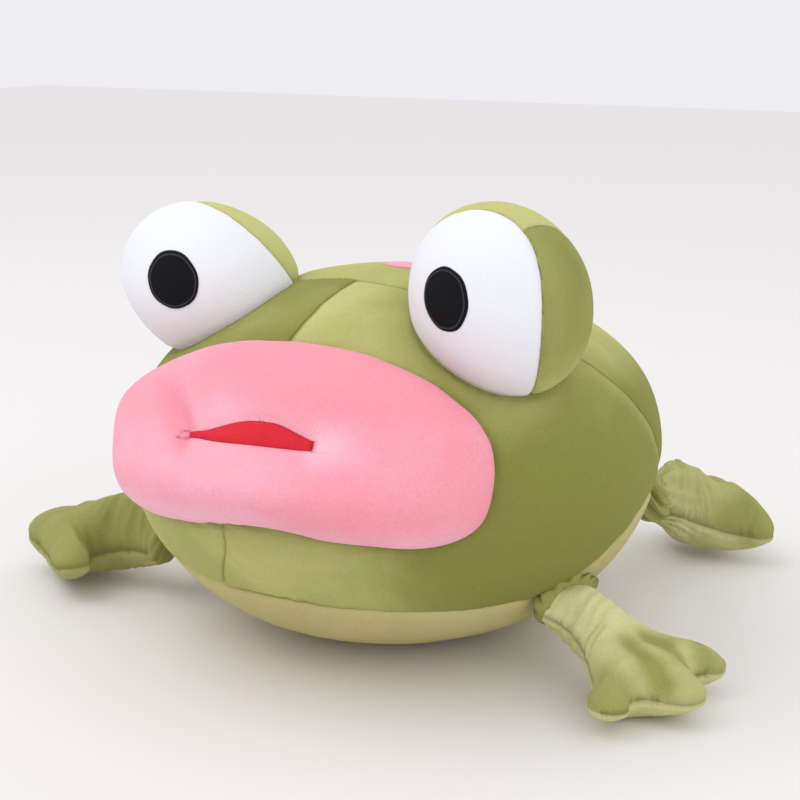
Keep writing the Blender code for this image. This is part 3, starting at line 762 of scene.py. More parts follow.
# Lips skin
# The pink velour is padded with fibre and creased beside the mouth's corners. At the slit it
# is drawn in and sewn to a lining of red velour.
mouth_seam_depth, mouth_seam_reach, mouth_seam_half_width, mouth_seam_shade = 0.0028, 0.009, 0.0007, 0.35
lips_join_half_width, lips_join_shade = 0.0014, 0.55
corner_crease_depths, corner_crease_length, corner_crease_width = (0.0058, 0.0022), 0.052, 0.0125
corner_crease_slopes, corner_crease_painted_light = (0.62, -0.1), (0.34, -0.25)
lips_lumps = ((0.0022, 0.075, 31), (0.0007, 0.028, 32))
lips_pucker_height, lips_pucker_reach = 0.0007, 0.012
mouth_pucker_height, mouth_pucker_reach, mouth_radius = 0.0004, 0.010, 0.03
lips_nap, lips_nap_length, chin_bounce_light, lips_side_shade, top_nap = 0.10, 0.06, 0.40, 0.10, 0.14
closed_length = 0.010
mouth_fibre_sink, mouth_fibre_smoothing = 0.013, 40

lips = lips_form(lips_segments, lips_rings)
points, normals = places(lips), directions(lips)
lining_verts = {vert for face in lips.faces if face.material_index for vert in face.verts}
edge_spots = np.array([vert.co for vert in lining_verts
                       if any(not face.material_index for face in vert.link_faces)])
from_mouth = np.array([np.min(np.linalg.norm(edge_spots - point, axis=1)) for point in points])
in_mouth = np.array([vert in lining_verts for vert in lips.verts])
over_body = body_skin.outside(points)
drawn_in = valley(from_mouth, mouth_seam_depth, mouth_seam_reach)
drawn_in = np.maximum(np.where(in_mouth, mouth_seam_depth - 0.15 * from_mouth, drawn_in),
                      join_valley(over_body))
corners = [edge_spots[np.argmin(edge_spots[:, 0])], edge_spots[np.argmax(edge_spots[:, 0])]]
nap_and_painted_light = lips_nap * soft_noise(points, lips_nap_length, 36)
creases = zip(corners, (-1, 1), corner_crease_depths, corner_crease_slopes, corner_crease_painted_light)
for corner, way, crease_depth, crease_slope, crease_painted_light in creases:
    beyond = (points[:, 0] - corner[0]) * way
    beside = points[:, 2] - corner[2] - crease_slope * np.maximum(beyond, 0)
    crease = smooth_step((beyond + 0.01) / 0.015) * smooth_step(1 - beyond / corner_crease_length)
    front = smooth_step((-points[:, 1] - 0.15) / 0.02)
    fold = crease * np.exp(-(beside / corner_crease_width) ** 2) * front
    drawn_in = drawn_in + crease_depth * fold
    # Painted shade darkens the deep crease past the mouth's -X corner; painted light lightens the fold past
    # the +X corner.
    nap_and_painted_light = nap_and_painted_light - crease_painted_light * fold
raised = sum(height * soft_noise(points, length, seed) for height, length, seed in lips_lumps)
rim_spin = np.arctan2(points[:, 2] - lips_height, points[:, 0]) * lips_half_height * 1.6
raised += puckers(rim_spin, over_body, 33, lips_pucker_height, lips_pucker_reach)
mouth_spin = np.arctan2(points[:, 2] - edge_spots[:, 2].mean(), points[:, 0] - edge_spots[:, 0].mean())
mouth_puckers = puckers(mouth_spin * mouth_radius, from_mouth, 35, mouth_pucker_height, mouth_pucker_reach)
raised += np.where(in_mouth, 0, mouth_puckers)
mouth_front = np.array((0, -math.cos(lips_tilt), math.sin(lips_tilt)))
spread = smooth_step((from_mouth - 0.002) / 0.012) * ~in_mouth
ways = mouth_front * (1 - spread)[:, None] + normals * spread[:, None]
move_to(lips, points + ways * (raised - drawn_in)[:, None])
# Painted light: the lips are lighter toward the chin, where floor light bounces up, and painted shade darkens
# the +X side, turned from the window lamp; they are also darker toward the top.
nap_and_painted_light += chin_bounce_light * smooth_step((0.155 - points[:, 2]) / 0.04) - lips_side_shade * smooth_step(points[:, 0] / 0.06)
nap_and_painted_light -= top_nap * smooth_step((points[:, 2] - 0.205) / 0.02) * smooth_step((points[:, 0] + 0.06) / 0.08)
mark(lips, "nap_and_painted_light", nap_and_painted_light)
# Painted shade darkens the mouth's seam and the lips' edge where they join the body.
open_edge = smooth_step((points[:, 0] - corners[0][0] - closed_length) / 0.005)
mouth_shade = seam_shade(from_mouth, mouth_seam_half_width, mouth_seam_shade) * open_edge
mark(lips, "seam", np.maximum(mouth_shade, seam_shade(over_body, lips_join_half_width, lips_join_shade)))
for tag, label, node, cloth, slot in ((0, "lips_velour", "lips_skin", pink_velour, "pink_velour"),
                                      (1, "mouth_velour", "mouth_lining", red_velour, "red_velour")):
    piece = cloth_piece(label, lips, tag, cloth)
    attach(piece, "torso")
    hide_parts(node)
lips.free()
lips_inside = lips_form(*plain_lips_facets)
points = places(lips_inside)
from_middle = np.linalg.norm((points - edge_spots.mean(axis=0)) * (0.55, 1, 1), axis=1)
near_mouth = 1 - smooth_step((from_middle - 0.03) / 0.04)
move_to(lips_inside, points - mouth_front * mouth_fibre_sink * near_mouth[:, None])
slack = [vert for vert, near in zip(lips_inside.verts, near_mouth) if near > 0]
for _ in range(mouth_fibre_smoothing):
    bmesh.ops.smooth_vert(lips_inside, verts=slack, factor=0.5, use_axis_x=True, use_axis_y=True,
                          use_axis_z=True)
filling("lips_fibre", lips_inside, "lips_stuffing")


# Body panels
# The two face panels and the back are green velour and the belly is a paler one, all sewn
# edge to edge over loose fibre. They share one form, so their edges meet in the seams' valleys.
back_seam_depth, back_seam_reach, centre_seam_depth, centre_seam_reach = 0.0026, 0.013, 0.0020, 0.007
small_lump_height, small_lump_length, crown_radius, face_radius = 0.0008, 0.045, 0.2, 0.17
back_pucker_height, centre_pucker_height, seam_pucker_reach = 0.0007, 0.0006, (0.012, 0.010)
full_back_rise, full_back_spot, full_back_reach = 0.006, (0.165, 0.085, 0.205), 0.065
# The seam and foot shades are painted shade; the crown, far side and fold values are painted light and shade.
belly_seam_shade, plain_seam_shade, eye_foot_shade, lips_foot_shade = 0.6, 0.14, 0.35, 0.45
belly_seam_half_width, plain_seam_half_width, foot_half_width = 0.0013, 0.0010, 0.0018
forehead_naps, crown_painted_light, cheek_nap, far_side_painted_shade, belly_nap = (0.20, 0.12), 0.14, 0.11, 0.20, 0.05
back_fold_painted_light, crease_place, crease_width = (0.16, -0.10), 0.006, 0.008
body_fibre_facets = (96, 18, 30)

body = body_rest.copy()
points, normals = places(body), directions(body)
angle = np.arctan2(points[:, 0], -points[:, 1])
turn = seam_turn(angle)
seam_spots = body_points(angle, turn)
from_belly = np.linalg.norm(points - seam_spots, axis=1) * np.sign(points[:, 2] - seam_spots[:, 2])
above_belly = from_belly > -0.0004
over_plane = (points - np.array(crown)) @ np.array(backward)
lean = np.sqrt(np.clip(1 - (normals @ np.array(backward)) ** 2, 0.15, 1))
from_back = np.where(above_belly, over_plane / lean, 1.0)
beside_centre = points[:, 0] - centre_seam_place(points[:, 2])
from_middle = np.where(above_belly & (over_plane < 0.0005) & (points[:, 1] < 0), beside_centre, 1.0)
from_middle = np.where(np.abs(normals[:, 1]) + normals[:, 2] > 0.3, from_middle, 1.0)
over_eyes = np.minimum(eye_skins[1].outside(points), eye_skins[-1].outside(points))
over_lips = lips_skin.outside(points)
drawn_in = np.maximum.reduce((valley(from_belly), valley(from_back, back_seam_depth, back_seam_reach),
                              valley(from_middle, centre_seam_depth, centre_seam_reach),
                              join_valley(over_eyes), join_valley(over_lips)))
raised = lump_height * soft_noise(points, lump_length, 41)
raised += small_lump_height * soft_noise(points, small_lump_length, 42)
over_crown = np.arctan2(points[:, 0], points[:, 2]) * crown_radius
down_face = np.arctan2(points[:, 2] - widest_height, -points[:, 1]) * face_radius
raised += puckers(angle * body_half_width, from_belly, 43)
raised += puckers(over_crown, from_back, 44, back_pucker_height, seam_pucker_reach[0])
raised += puckers(down_face, from_middle, 45, centre_pucker_height, seam_pucker_reach[1])
raised *= smooth_step(points[:, 2] / 0.02)
from_full = np.linalg.norm(points - full_back_spot, axis=1)
raised += full_back_rise * np.exp(-(from_full / full_back_reach) ** 2)
points = points + normals * (raised - drawn_in)[:, None]
points[:, 2] = np.maximum(points[:, 2], 0)
move_to(body, points)
# Painted shade darkens the seams' grooves and the feet of the eyes and lips where they join the body.
shade = np.maximum.reduce((seam_shade(from_belly, belly_seam_half_width, belly_seam_shade),
                           seam_shade(from_back, plain_seam_half_width, plain_seam_shade),
                           seam_shade(from_middle, plain_seam_half_width, plain_seam_shade),
                           seam_shade(over_eyes, foot_half_width, eye_foot_shade),
                           seam_shade(over_lips, foot_half_width, lips_foot_shade)))
high = smooth_step((points[:, 2] - 0.19) / 0.05)
on_left = smooth_step(beside_centre / 0.006)
by_seam = np.exp(-np.clip(beside_centre / 0.07, 0, None))
forehead = forehead_naps[0] * on_left * by_seam - forehead_naps[1] * (1 - on_left)
far_side = smooth_step((points[:, 0] - 0.06) / 0.10) * smooth_step((0.25 - points[:, 2]) / 0.10)
low = smooth_step((0.14 - points[:, 2]) / 0.04)
crease = np.exp(-(np.abs(over_plane) - crease_place) ** 2 / crease_width ** 2)
# Painted light: the crown is lighter as if lit from above and the +X side darker, turned from the window
# lamp; beside the back seam the face side is lighter and the back side darker, as a painted highlight and
# shade of its fold.
nap_and_painted_light = high * np.where(over_plane < 0, forehead, crown_painted_light)
nap_and_painted_light += cheek_nap * (1 - high) * (1 - far_side) * low - far_side_painted_shade * far_side
nap_and_painted_light += np.where(over_plane < 0, *back_fold_painted_light) * crease * far_side
mark(body, "nap_and_painted_light", np.where(above_belly, nap_and_painted_light, belly_nap))
mark(body, "seam", shade)
body.verts.index_update()
for face in body.faces:
    if face.material_index:
        face.material_index = 3
        continue
    in_front = 0 if total(beside_centre, face) > 0 else 1
    face.material_index = 2 if total(over_plane, face) > 0 else in_front
for tag, label, node, cloth, slot in ((0, "left_face_velour", "face_left", green_velour, "green_velour"),
                                      (1, "right_face_velour", "face_right", green_velour, "green_velour"),
                                      (2, "back_velour", "back_panel", green_velour, "green_velour"),
                                      (3, "belly_velour", "belly_panel", belly_velour, "belly_velour")):
    piece = cloth_piece(label, body, tag, cloth)
    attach(piece, "torso")
    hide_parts(node)
filling("body_fibre", body_form(*body_fibre_facets), "body_stuffing")


# Limbs
# Each limb is a flat bag of two velour panels, an upper and a sole, cut with an arm, a palm
# and three stubby toes, sewn round and stuffed. One is blown up as cloth and used four times.
pattern_step = 0.0026
arm_half_width, arm_end, arm_end_half_width, arm_end_slope = 0.0270, -0.014, 0.016, 0.62
arm_widening, arm_length, palm_place, palm_half_width, palm_radius = 0.015, 0.080, 0.069, 0.049, 0.032
toe_spread, toe_radii, toe_tip_radii, toe_root = math.radians(70), (0.021, 0.030), (0.0180, 0.0265), 0.070
toe_side, side_toe_reach, middle_toe_reach, toe_web = 0.022, 0.034, 0.026, 0.014
arm_widens_from, arm_widens_over, palm_web = 0.012, 0.050, 0.014
sheet_rows, sheet_columns, row_spacing = (-0.02, 0.14), (-0.09, 0.09), 0.866
sheet_gap, edge_gap = 0.0015, 0.62
pattern_growth = 1.16
puff_pressure, puff_stiffness, puff_bending, puff_frames = 50.0, 12.0, 0.2, 36
limb_length, limb_side, limb_arm_rise, limb_palm_rise, limb_fall = 0.1190, 0.065, 0.0290, 0.0280, 0.0205
limb_fullness, root_length, root_cut = 0.64, 0.075, -0.004
gather_length, gather_folds, gather_depth = 0.052, 13, 0.0048
palm_fold_tip, palm_fold_root = (0.103, 0.018), (0.066, 0.010)
palm_fold_width, palm_fold_depth = 0.0075, 0.0028
wrinkle_depth, wrinkle_length, wrinkle_width, wrinkle_bow = 0.0028, 0.0065, 0.045, 4.0
limb_seam_depth, limb_seam_reach, limb_seam_half_width, limb_seam_shade = 0.0011, 0.0042, 0.0008, 0.40
limb_pucker_height, limb_pucker_reach, limb_lump_height, limb_lump_length = 0.0005, 0.009, 0.0009, 0.030
sole_nap, palm_fold_shade, toe_nap = 0.14, 0.26, 0.16
fibre_inset, fibre_height_share, fibre_gather, fibre_floor = 0.010, 0.58, 1.15, 0.0045

# How each limb lies. In degrees: turned and inclined on its neck. In metres: the side seam's
# height, the bag nearer the body, its root moved back or aside and lifted, the arm heaped up,
# one toe swept back and the toes tipped up. As shares: gathered, fuller above, leaned outward.
as_cut = dict.fromkeys(("incline", "gather", "fuller", "palm_fuller", "near", "back", "aside", "leaned",
                        "swept", "heaped", "tipped"), 0.0)
rear = {**as_cut, "turn": 15, "incline": 6, "seam_up": -0.036, "gather": 0.42, "fuller": 0.40,
        "palm_fuller": 0.65, "lifted": 0.018, "heaped": 0.028, "tipped": 0.003, "naps": (-0.10, 0.06)}
limbs = {"front_left": {**as_cut, "side": 1, "turn": 1, "seam_up": -0.016, "fuller": 0.05, "aside": -0.010,
                        "leaned": 0.35, "lifted": 0.034, "naps": (0.04, 0.24)},
         "front_right": {**as_cut, "side": -1, "turn": 13, "seam_up": -0.013, "fuller": 0.30,
                         "palm_fuller": 0.35, "near": 0.010, "back": 0.014, "swept": 0.036,
                         "lifted": 0.012, "heaped": 0.014, "tipped": 0.010, "naps": (-0.17, -0.16)},
         "rear_left": {**rear, "side": 1},
         "rear_right": {**rear, "side": -1}}


def cone_distance(points, start, end, start_radius=0.0, end_radius=0.0):
    """How far points lie outside a line drawn round with a radius that runs from one to another."""
    start, end = np.array(start), np.array(end)
    line = end - start
    share = np.clip((points - start) @ line / (line @ line), 0, 1)
    radius = between(start_radius, end_radius, share)
    return np.linalg.norm(points - start - share[:, None] * line, axis=1) - radius


def pattern_distance(points):
    """How far points lie outside the limb's cut outline, below 0 inside it."""
    along, across = points[:, 0], np.abs(points[:, 1])
    half = arm_half_width + arm_widening * smooth_step((along - arm_widens_from) / arm_widens_over)
    slant = np.minimum(arm_end_half_width + (along - arm_end) / arm_end_slope, half)
    arm = np.maximum.reduce((across - slant, arm_end - along, along - arm_length))
    palm_side = palm_half_width - palm_radius
    palm = cone_distance(points, (palm_place, -palm_side), (palm_place, palm_side), palm_radius, palm_radius)
    shape = rounder_min(arm, palm, palm_web)
    for heading, reach in ((-toe_spread, side_toe_reach), (0, middle_toe_reach),
                           (toe_spread, side_toe_reach)):
        root = (toe_root, toe_side * np.sign(heading))
        tip = (root[0] + reach * math.cos(heading), root[1] + reach * math.sin(heading))
        radius, tip_radius = toe_radii[heading == 0], toe_tip_radii[heading == 0]
        shape = rounder_min(shape, cone_distance(points, root, tip, radius, tip_radius), toe_web)
    return shape


def pattern_outline(step):
    """Points at even steps round the cut outline."""
    def slope(point):
        ends = np.array([point + (1e-5, 0), point - (1e-5, 0), point + (0, 1e-5), point - (0, 1e-5)])
        value = pattern_distance(ends)
        return np.array((value[0] - value[1], value[2] - value[3])) / 2e-5

    def onto(point):
        for _ in range(4):
            rise = slope(point)
            point = point - pattern_distance(point[None])[0] * rise / max(rise @ rise, 0.1)
        return point

    stride = step / 3
    trail = [onto(np.array((arm_end, 0.0)))]
    while len(trail) < 9 or np.linalg.norm(trail[-1] - trail[0]) > stride:
        rise = slope(trail[-1])
        trail.append(onto(trail[-1] + np.array((-rise[1], rise[0])) * stride / np.linalg.norm(rise)))
    trail = np.array(trail + trail[:1])
    walked = np.concatenate(([0], np.cumsum(np.linalg.norm(np.diff(trail, axis=0), axis=1))))
    even = np.linspace(0, walked[-1], round(walked[-1] / step), endpoint=False)
    spots = np.column_stack([np.interp(even, walked, trail[:, axis]) for axis in range(2)])
    return [onto(spot) for spot in spots]


def flat_bag():
    """The two panels as flat sheets that share their outline, tagged 0 above and 1 below."""
    outline = pattern_outline(pattern_step)
    rows = []
    for row, along in enumerate(np.arange(*sheet_rows, pattern_step * row_spacing)):
        shift = pattern_step / 2 if row % 2 else 0
        rows.extend((along, across) for across in np.arange(*sheet_columns, pattern_step) + shift)
    rows = np.array(rows)
    inner = rows[pattern_distance(rows) < -edge_gap * pattern_step]
    spots = [Vector(point) for point in outline] + [Vector(point) for point in inner]
    loop = [(count, (count + 1) % len(outline)) for count in range(len(outline))]
    flat, _, triangles, _, _, _ = delaunay_2d_cdt(spots, loop, [], 1, 1e-7)
    bm = bmesh.new()
    sheets = {}
    for layer in (1, -1):
        for count, spot in enumerate(flat):
            on_rim = count < len(outline)
            if on_rim and layer < 0:
                sheets[count, layer] = sheets[count, 1]
                continue
            sheets[count, layer] = bm.verts.new((spot.x, spot.y, 0 if on_rim else layer * sheet_gap))
        for triangle in triangles:
            if max(triangle) >= len(outline):
                face = bm.faces.new([sheets[count, layer] for count in triangle][::layer])
                face.material_index = int(layer < 0)
    bmesh.ops.delete(bm, geom=[vert for vert in bm.verts if not vert.link_faces], context="VERTS")
    bmesh.ops.recalc_face_normals(bm, faces=bm.faces)
    return bm


def puffed_bag():
    """The stuffed bag at rest, with each point's place on the flat pattern kept beside it."""
    bm = flat_bag()
    flat = places(bm)
    move_to(bm, flat * (pattern_growth, pattern_growth, 1))
    mesh = bpy.data.meshes.new("limb bag")
    bm.to_mesh(mesh)
    bm.free()
    for _ in range(2):
        mesh.materials.append(None)
    pattern = mesh.attributes.new("pattern", "FLOAT_VECTOR", "POINT")
    pattern.data.foreach_set("vector", flat.ravel())
    bag = bpy.data.objects.new("limb bag", mesh)
    bpy.context.scene.collection.objects.link(bag)
    held = bag.vertex_groups.new(name="held")
    near_root = np.flatnonzero((flat[:, 0] < arm_end + 0.001) & (np.abs(flat[:, 1]) < 0.012))
    held.add([int(count) for count in near_root], 1.0, "REPLACE")
    cloth = bag.modifiers.new("puff", "CLOTH")
    settings = cloth.settings
    settings.quality = 7
    settings.mass = 0.25
    settings.tension_stiffness = settings.compression_stiffness = puff_stiffness
    settings.shear_stiffness = puff_stiffness * 0.4
    settings.bending_stiffness = puff_bending
    settings.tension_damping = settings.compression_damping = 15
    settings.air_damping = 3
    settings.use_pressure = True
    settings.uniform_pressure_force = puff_pressure
    settings.vertex_group_mass = "held"
    settings.effector_weights.gravity = 0
    cloth.collision_settings.use_collision = False
    cloth.point_cache.frame_end = puff_frames
    for count in range(1, puff_frames + 1):
        bpy.context.scene.frame_set(count)
    smooth = bag.modifiers.new("smooth", "SUBSURF")
    smooth.levels = smooth.render_levels = 1
    shown = bag.evaluated_get(bpy.context.evaluated_depsgraph_get())
    puffed = bpy.data.meshes.new_from_object(shown)
    bpy.context.scene.frame_set(1)
    bpy.data.objects.remove(bag)
    return puffed


def cut_bag(mesh):
    """The bag with its fullness set and its arm cut open straight across, ready for a neck."""
    bag = bmesh.new()
    bag.from_mesh(mesh)
    points = places(bag)
    points[:, 0] *= limb_length / points[:, 0].max()
    points[:, 1] *= limb_side / np.abs(points[:, 1]).max()
    high = points[:, 2] / np.abs(points[:, 2]).max()
    high = np.sign(high) * np.abs(high) ** limb_fullness
    arm_share = 1 - smooth_step((points[:, 0] - 0.035) / 0.035)
    points[:, 2] = high * np.where(high > 0, between(limb_palm_rise, limb_arm_rise, arm_share), limb_fall)
    move_to(bag, points)
    geometry = bag.verts[:] + bag.edges[:] + bag.faces[:]
    bmesh.ops.bisect_plane(bag, geom=geometry, dist=0.0004, plane_co=(root_cut, 0, 0), plane_no=(-1, 0, 0),
                           clear_outer=True)
    bag.verts.index_update()
    return bag


bag_mesh = puffed_bag()
plain_bag = cut_bag(bag_mesh)
bag_points = places(plain_bag)
pattern_layer = plain_bag.verts.layers.float_vector["pattern"]
bag_flat = np.array([vert[pattern_layer] for vert in plain_bag.verts])
to_rim = np.clip(-pattern_distance(bag_flat[:, :2]), 0, None) * pattern_growth
end_loop = [vert.index for vert in plain_bag.verts if any(edge.is_boundary for edge in vert.link_edges)]
end_height = bag_points[end_loop, 2].mean()
small = 1e-4
rim_way = np.column_stack([pattern_distance(bag_flat[:, :2] + step) - pattern_distance(bag_flat[:, :2] - step)
                           for step in np.eye(2) * small])
rim_way /= np.maximum(np.linalg.norm(rim_way, axis=1), small)[:, None]
rim_turn = np.arctan2(bag_flat[:, 1], bag_flat[:, 0] - 0.055) * 0.055
folded_flat = np.column_stack((bag_flat[:, 0], np.abs(bag_flat[:, 1])))
beside_fold = cone_distance(folded_flat, palm_fold_tip, palm_fold_root)
palm_folds = np.exp(-(beside_fold / palm_fold_width) ** 2) * (bag_points[:, 2] > 0)


def shaped_bag(limb, seed, inset=0.0):
    """One limb's points round its mouth, laid and gathered as it lies, or its fibre's, set in."""
    look = limbs[limb]
    points = bag_points.copy()
    points[:, 1] *= look["side"]
    heap = look["heaped"] * np.clip(points[:, 2] / limb_arm_rise, 0, 1)
    if inset:
        points[:, :2] -= inset * rim_way * (1, look["side"]) * (1 - smooth_step(to_rim / 0.012))[:, None]
        points[:, 2] *= fibre_height_share
    fullness = between(look["fuller"], look["palm_fuller"], smooth_step((points[:, 0] - 0.030) / 0.050))
    points[:, 2] *= 1 + fullness * (points[:, 2] > 0)
    points[:, 0] -= look["near"] + look["swept"] * smooth_step((points[:, 1] - 0.022) / 0.035)
    near_root = 1 - smooth_step((points[:, 0] - root_cut) / gather_length)
    narrowing = 1 - look["gather"] * near_root * (fibre_gather if inset else 1)
    turn = np.arctan2(points[:, 2] - end_height, points[:, 1])
    folds = np.cos(turn * gather_folds + 1.5 * soft_noise(points, 0.02, seed + 50)) * (not inset)
    narrowing = narrowing * (1 + look["gather"] * gather_depth / 0.012 * folds * near_root)
    points[:, 1] *= narrowing
    points[:, 2] = end_height + (points[:, 2] - end_height) * narrowing
    moved = 1 - smooth_step((points[:, 0] - root_cut) / root_length)
    points[:, 0] += (look["leaned"] * points[:, 2] - look["back"]) * moved
    points[:, 1] += look["aside"] * moved
    tip = look["tipped"] * smooth_step((points[:, 0] - 0.06) / 0.06)
    points[:, 2] += look["seam_up"] + (look["lifted"] + heap) * moved + tip
    return points


joints = {joint["name"]: joint for joint in frame["joints"]}
limb_ends = {}


def neck_line(limb):
    """Where a limb's neck starts, which way it runs over the floor, and how far."""
    start, end = (Vector(joints[limb + name]["pos_m"]) for name in ("_lift", "_swing"))
    level = Vector((end.x - start.x, end.y - start.y, 0))
    return start, level.normalized(), level.length


def bend(piece, limb):
    """Bakes the place of a piece into its mesh; the limb it belongs to is not used."""
    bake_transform(piece)


for seed, (limb, look) in enumerate(limbs.items()):
    lift, swing = (joints[limb + end] for end in ("_lift", "_swing"))
    mouth = Vector(swing["pos_m"])
    heading = math.atan2(mouth.y - lift["pos_m"][1], mouth.x - lift["pos_m"][0])
    heading += math.radians(look["side"] * look["turn"])
    stand = Matrix.Translation(mouth) @ Matrix.Rotation(heading, 4, "Z")
    stand = stand @ Matrix.Rotation(math.radians(look["incline"]), 4, "Y")
    bag = plain_bag.copy()
    move_to(bag, shaped_bag(limb, seed))
    bmesh.ops.recalc_face_normals(bag, faces=bag.faces)
    points, normals = places(bag), directions(bag)
    bowed = bag_flat[:, 0] + wrinkle_bow * bag_flat[:, 1] ** 2
    lines = np.column_stack((bowed / wrinkle_length, bag_flat[:, 1] / wrinkle_width, bag_flat[:, 2] * 99))
    wrinkles = wrinkle_depth * (0.35 - np.abs(soft_noise(lines, 1.0, 60 + seed)))
    wrinkles *= smooth_step((bowed - 0.006) / 0.012) * (1 - smooth_step((bowed - 0.040) / 0.018))
    wrinkles -= palm_fold_depth * palm_folds
    lumps = limb_lump_height * soft_noise(points, limb_lump_length, 70 + seed)
    raised = lumps * smooth_step(to_rim / 0.008) + wrinkles
    raised += puckers(rim_turn, to_rim, 80 + seed, limb_pucker_height, limb_pucker_reach)
    drawn_in = valley(to_rim, limb_seam_depth, limb_seam_reach)
    points = points + normals * (raised - drawn_in)[:, None]
    world = np.array([stand @ Vector(point) for point in points])
    world[:, 2] = np.maximum(world[:, 2], 0)
    move_to(bag, world)
    limb_ends[limb] = [Vector(world[count]) for count in end_loop]
    # Painted shade darkens the side seam's groove.
    mark(bag, "seam", seam_shade(to_rim, limb_seam_half_width, limb_seam_shade))
    palm_nap, arm_nap = look["naps"]
    upper_nap = palm_nap + arm_nap * (1 - smooth_step((bag_flat[:, 0] - 0.035) / 0.050))
    # Painted shade darkens the palm's folds.
    upper_nap -= palm_fold_shade * palm_folds
    upper_nap -= toe_nap * smooth_step((np.abs(bag_flat[:, 1]) - 0.030) / 0.020)
    mark(bag, "nap_and_painted_light", np.where(bag_points[:, 2] < 0, palm_nap + sole_nap, upper_nap))
    for tag, label in ((0, "upper"), (1, "sole")):
        piece = cloth_piece(limb + "_" + label + "_velour", bag, tag, limb_velour)
        bend(piece, limb)
        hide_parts(limb + "_" + label)
    world = np.array([stand @ Vector(point) for point in shaped_bag(limb, seed, fibre_inset)])
    world[:, 2] = np.maximum(world[:, 2], fibre_floor)
    move_to(bag, world)
    bmesh.ops.holes_fill(bag, edges=[edge for edge in bag.edges if edge.is_boundary])
    for face in bag.faces:
        face.material_index = 0
    piece = cloth_piece(limb + "_fibre", bag, 0, fibre, thickness=0)
    bag.free()
    bend(piece, limb)
    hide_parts(limb + "_stuffing")


# Necks
# The arm's cloth runs on as an empty tube, bunched in folds, to the belly seam, where it is
# pressed flat and sewn in. The tube is painted darker, as painted shade in its crumpled folds.
neck_half_width, neck_seam_thickness, neck_root, neck_tuck = 0.024, 0.0036, 0.003, 0.005
neck_rows, neck_columns, neck_folds = 36, 150, 12
neck_hem, neck_hem_rows, neck_mouth_share = 0.013, 4, 0.90
neck_seam_shade, neck_seam_half_width, neck_fill = 0.55, 0.004, 0.1
front_neck = {"swell": 0.009, "rise": 0.014}
rear_neck = {"root_share": 0.45, "fold_depth": 0.0036, "swell": 0.006, "rise": 0.0, "nap_and_painted_light": -0.16}
necks = {"front_left": {**front_neck, "root_share": 0.0, "fold_depth": 0.0020, "nap_and_painted_light": -0.22},
         "front_right": {**front_neck, "root_share": 0.70, "fold_depth": 0.0014, "nap_and_painted_light": -0.30},
         "rear_left": rear_neck, "rear_right": rear_neck}

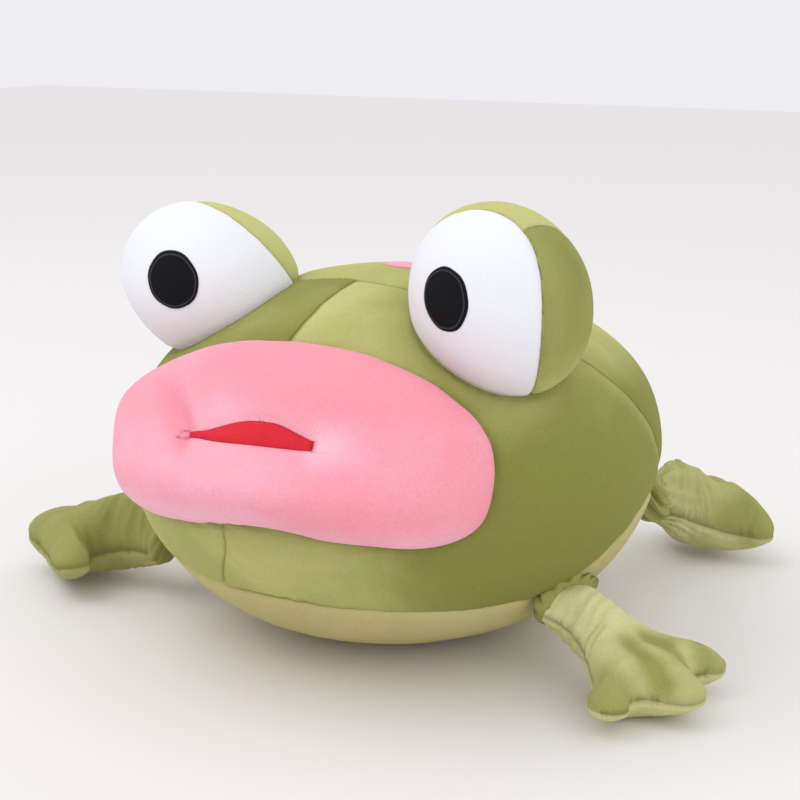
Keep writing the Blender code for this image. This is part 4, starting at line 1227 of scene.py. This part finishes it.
for seed, (limb, look) in enumerate(necks.items()):
    start, outward, run = neck_line(limb)
    sewn = start + Vector((0, 0, look["rise"]))
    sewn += outward * look["rise"] * 0.6
    sideways = Vector((-outward.y, outward.x, 0))
    loop = limb_ends[limb]
    middle = sum(loop, Vector()) / len(loop)
    spokes = []
    for spot in loop:
        away = spot - middle
        spokes.append((math.atan2(away.z, away.dot(sideways)), away))
    spokes.sort(key=lambda spoke: spoke[0])
    turns = np.array([spoke[0] for spoke in spokes])
    turns = np.concatenate((turns - 2 * math.pi, turns, turns + 2 * math.pi))
    aways = np.array([tuple(spoke[1]) for spoke in spokes] * 3)
    neck = bmesh.new()
    rings = []
    for row in range(neck_rows + 1):
        share = row / neck_rows
        opening = smooth_step(min(share * 1.5, 1)) if run > 0.02 else smooth_step(share)
        strength = math.sin(math.pi * min(share * 1.15, 1)) ** 0.7
        centre = (sewn - outward * neck_root).lerp(middle + outward * neck_tuck, share)
        centre.z = between(sewn.z, middle.z, float(smooth_step(share)))
        ring = []
        for column in range(neck_columns):
            turn = 2 * math.pi * column / neck_columns - math.pi
            away = Vector([np.interp(turn, turns, aways[:, axis]) for axis in range(3)]) * neck_mouth_share
            flat_across = neck_half_width * math.cos(turn)
            flat_up = neck_seam_thickness / 2 * math.sin(turn) * (1.4 - 0.4 * abs(math.sin(turn)))
            near = sideways * flat_across + Vector((0, 0, flat_up))
            spoke = near.lerp(away, float(opening))
            wander = noise.noise(Vector((math.cos(turn) * 1.3, math.sin(turn) * 1.3, share * 1.4 + 7 * seed)))
            fold = math.cos(turn * neck_folds + 3.0 * wander) + 0.4 * wander
            bulge = look["fold_depth"] * fold * strength + look["swell"] * math.sin(math.pi * share)
            spoke *= max(1 + bulge / max(spoke.length, 1e-6), 0.4)
            ring.append(neck.verts.new(centre + spoke))
        rings.append(ring)
    for row in range(1, neck_hem_rows + 1):
        shift = outward * neck_hem * row / neck_hem_rows
        rings.insert(0, [neck.verts.new(vert.co - shift) for vert in rings[row - 1]])
    split_row = round(look["root_share"] * neck_rows)
    split_row += neck_hem_rows if split_row else 0
    for row, (near_ring, far_ring) in enumerate(zip(rings, rings[1:])):
        for column in range(neck_columns):
            after = (column + 1) % neck_columns
            face = neck.faces.new((near_ring[column], near_ring[after], far_ring[after], far_ring[column]))
            face.material_index = int(row >= split_row)
    bmesh.ops.recalc_face_normals(neck, faces=neck.faces)
    for vert in neck.verts:
        vert.co.z = max(vert.co.z, 0.0)
    # Painted shade: the whole tube is darkened, and the line where it is sewn to the body more so.
    mark(neck, "nap_and_painted_light", [look["nap_and_painted_light"]] * len(neck.verts))
    from_seam = np.array([(vert.co - sewn).dot(outward) for vert in neck.verts])
    mark(neck, "seam", seam_shade(from_seam, neck_seam_half_width, neck_seam_shade))
    for tag, label in ((0, "neck_root"), (1, "neck_end")):
        if tag == 0 and not split_row:
            continue
        piece = cloth_piece(limb + "_" + label + "_velour", neck, tag, limb_velour)
        shown = piece.evaluated_get(bpy.context.evaluated_depsgraph_get())
        final = bpy.data.meshes.new_from_object(shown)
        piece.modifiers.clear()
        piece.data = final
        if tag == 0:
            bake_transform(piece)
        else:
            bend(piece, limb)
        if tag == 0 or not split_row:
            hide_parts(limb + "_neck")
    neck.free()


# Back patch
# A small oval of pink velour lies on the back, a little left of the middle. It is sewn down
# flat all round, and painted shade darkens its edge.
patch_half_width, patch_half_length, patch_side, patch_back = 0.020, 0.014, 0.005, 0.012
patch_rise, patch_sink, patch_edge_shade = 0.0022, 0.0004, 0.5
patch_facets = (96, 24)

patch, unit = unit_ball(*patch_facets)
spots = []
for point in unit:
    out = math.hypot(point[0], point[1])
    above = Vector((patch_side + patch_half_width * point[0], patch_back + patch_half_length * point[1], 1))
    place, normal, _, _ = body_skin.tree.ray_cast(above, Vector((0, 0, -1)))
    rise = patch_rise * math.sqrt(max(1 - out ** 5, 0)) if point[2] > 0 else -patch_sink
    spots.append(place + normal * rise)
move_to(patch, spots)
bmesh.ops.recalc_face_normals(patch, faces=patch.faces)
mark(patch, "seam", patch_edge_shade * smooth_step((np.hypot(unit[:, 0], unit[:, 1]) - 0.9) / 0.1))
for face in patch.faces:
    face.material_index = 0
piece = cloth_piece("back_patch_velour", patch, 0, pink_velour, thickness=0)
patch.free()
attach(piece, "torso")
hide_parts("back_patch")
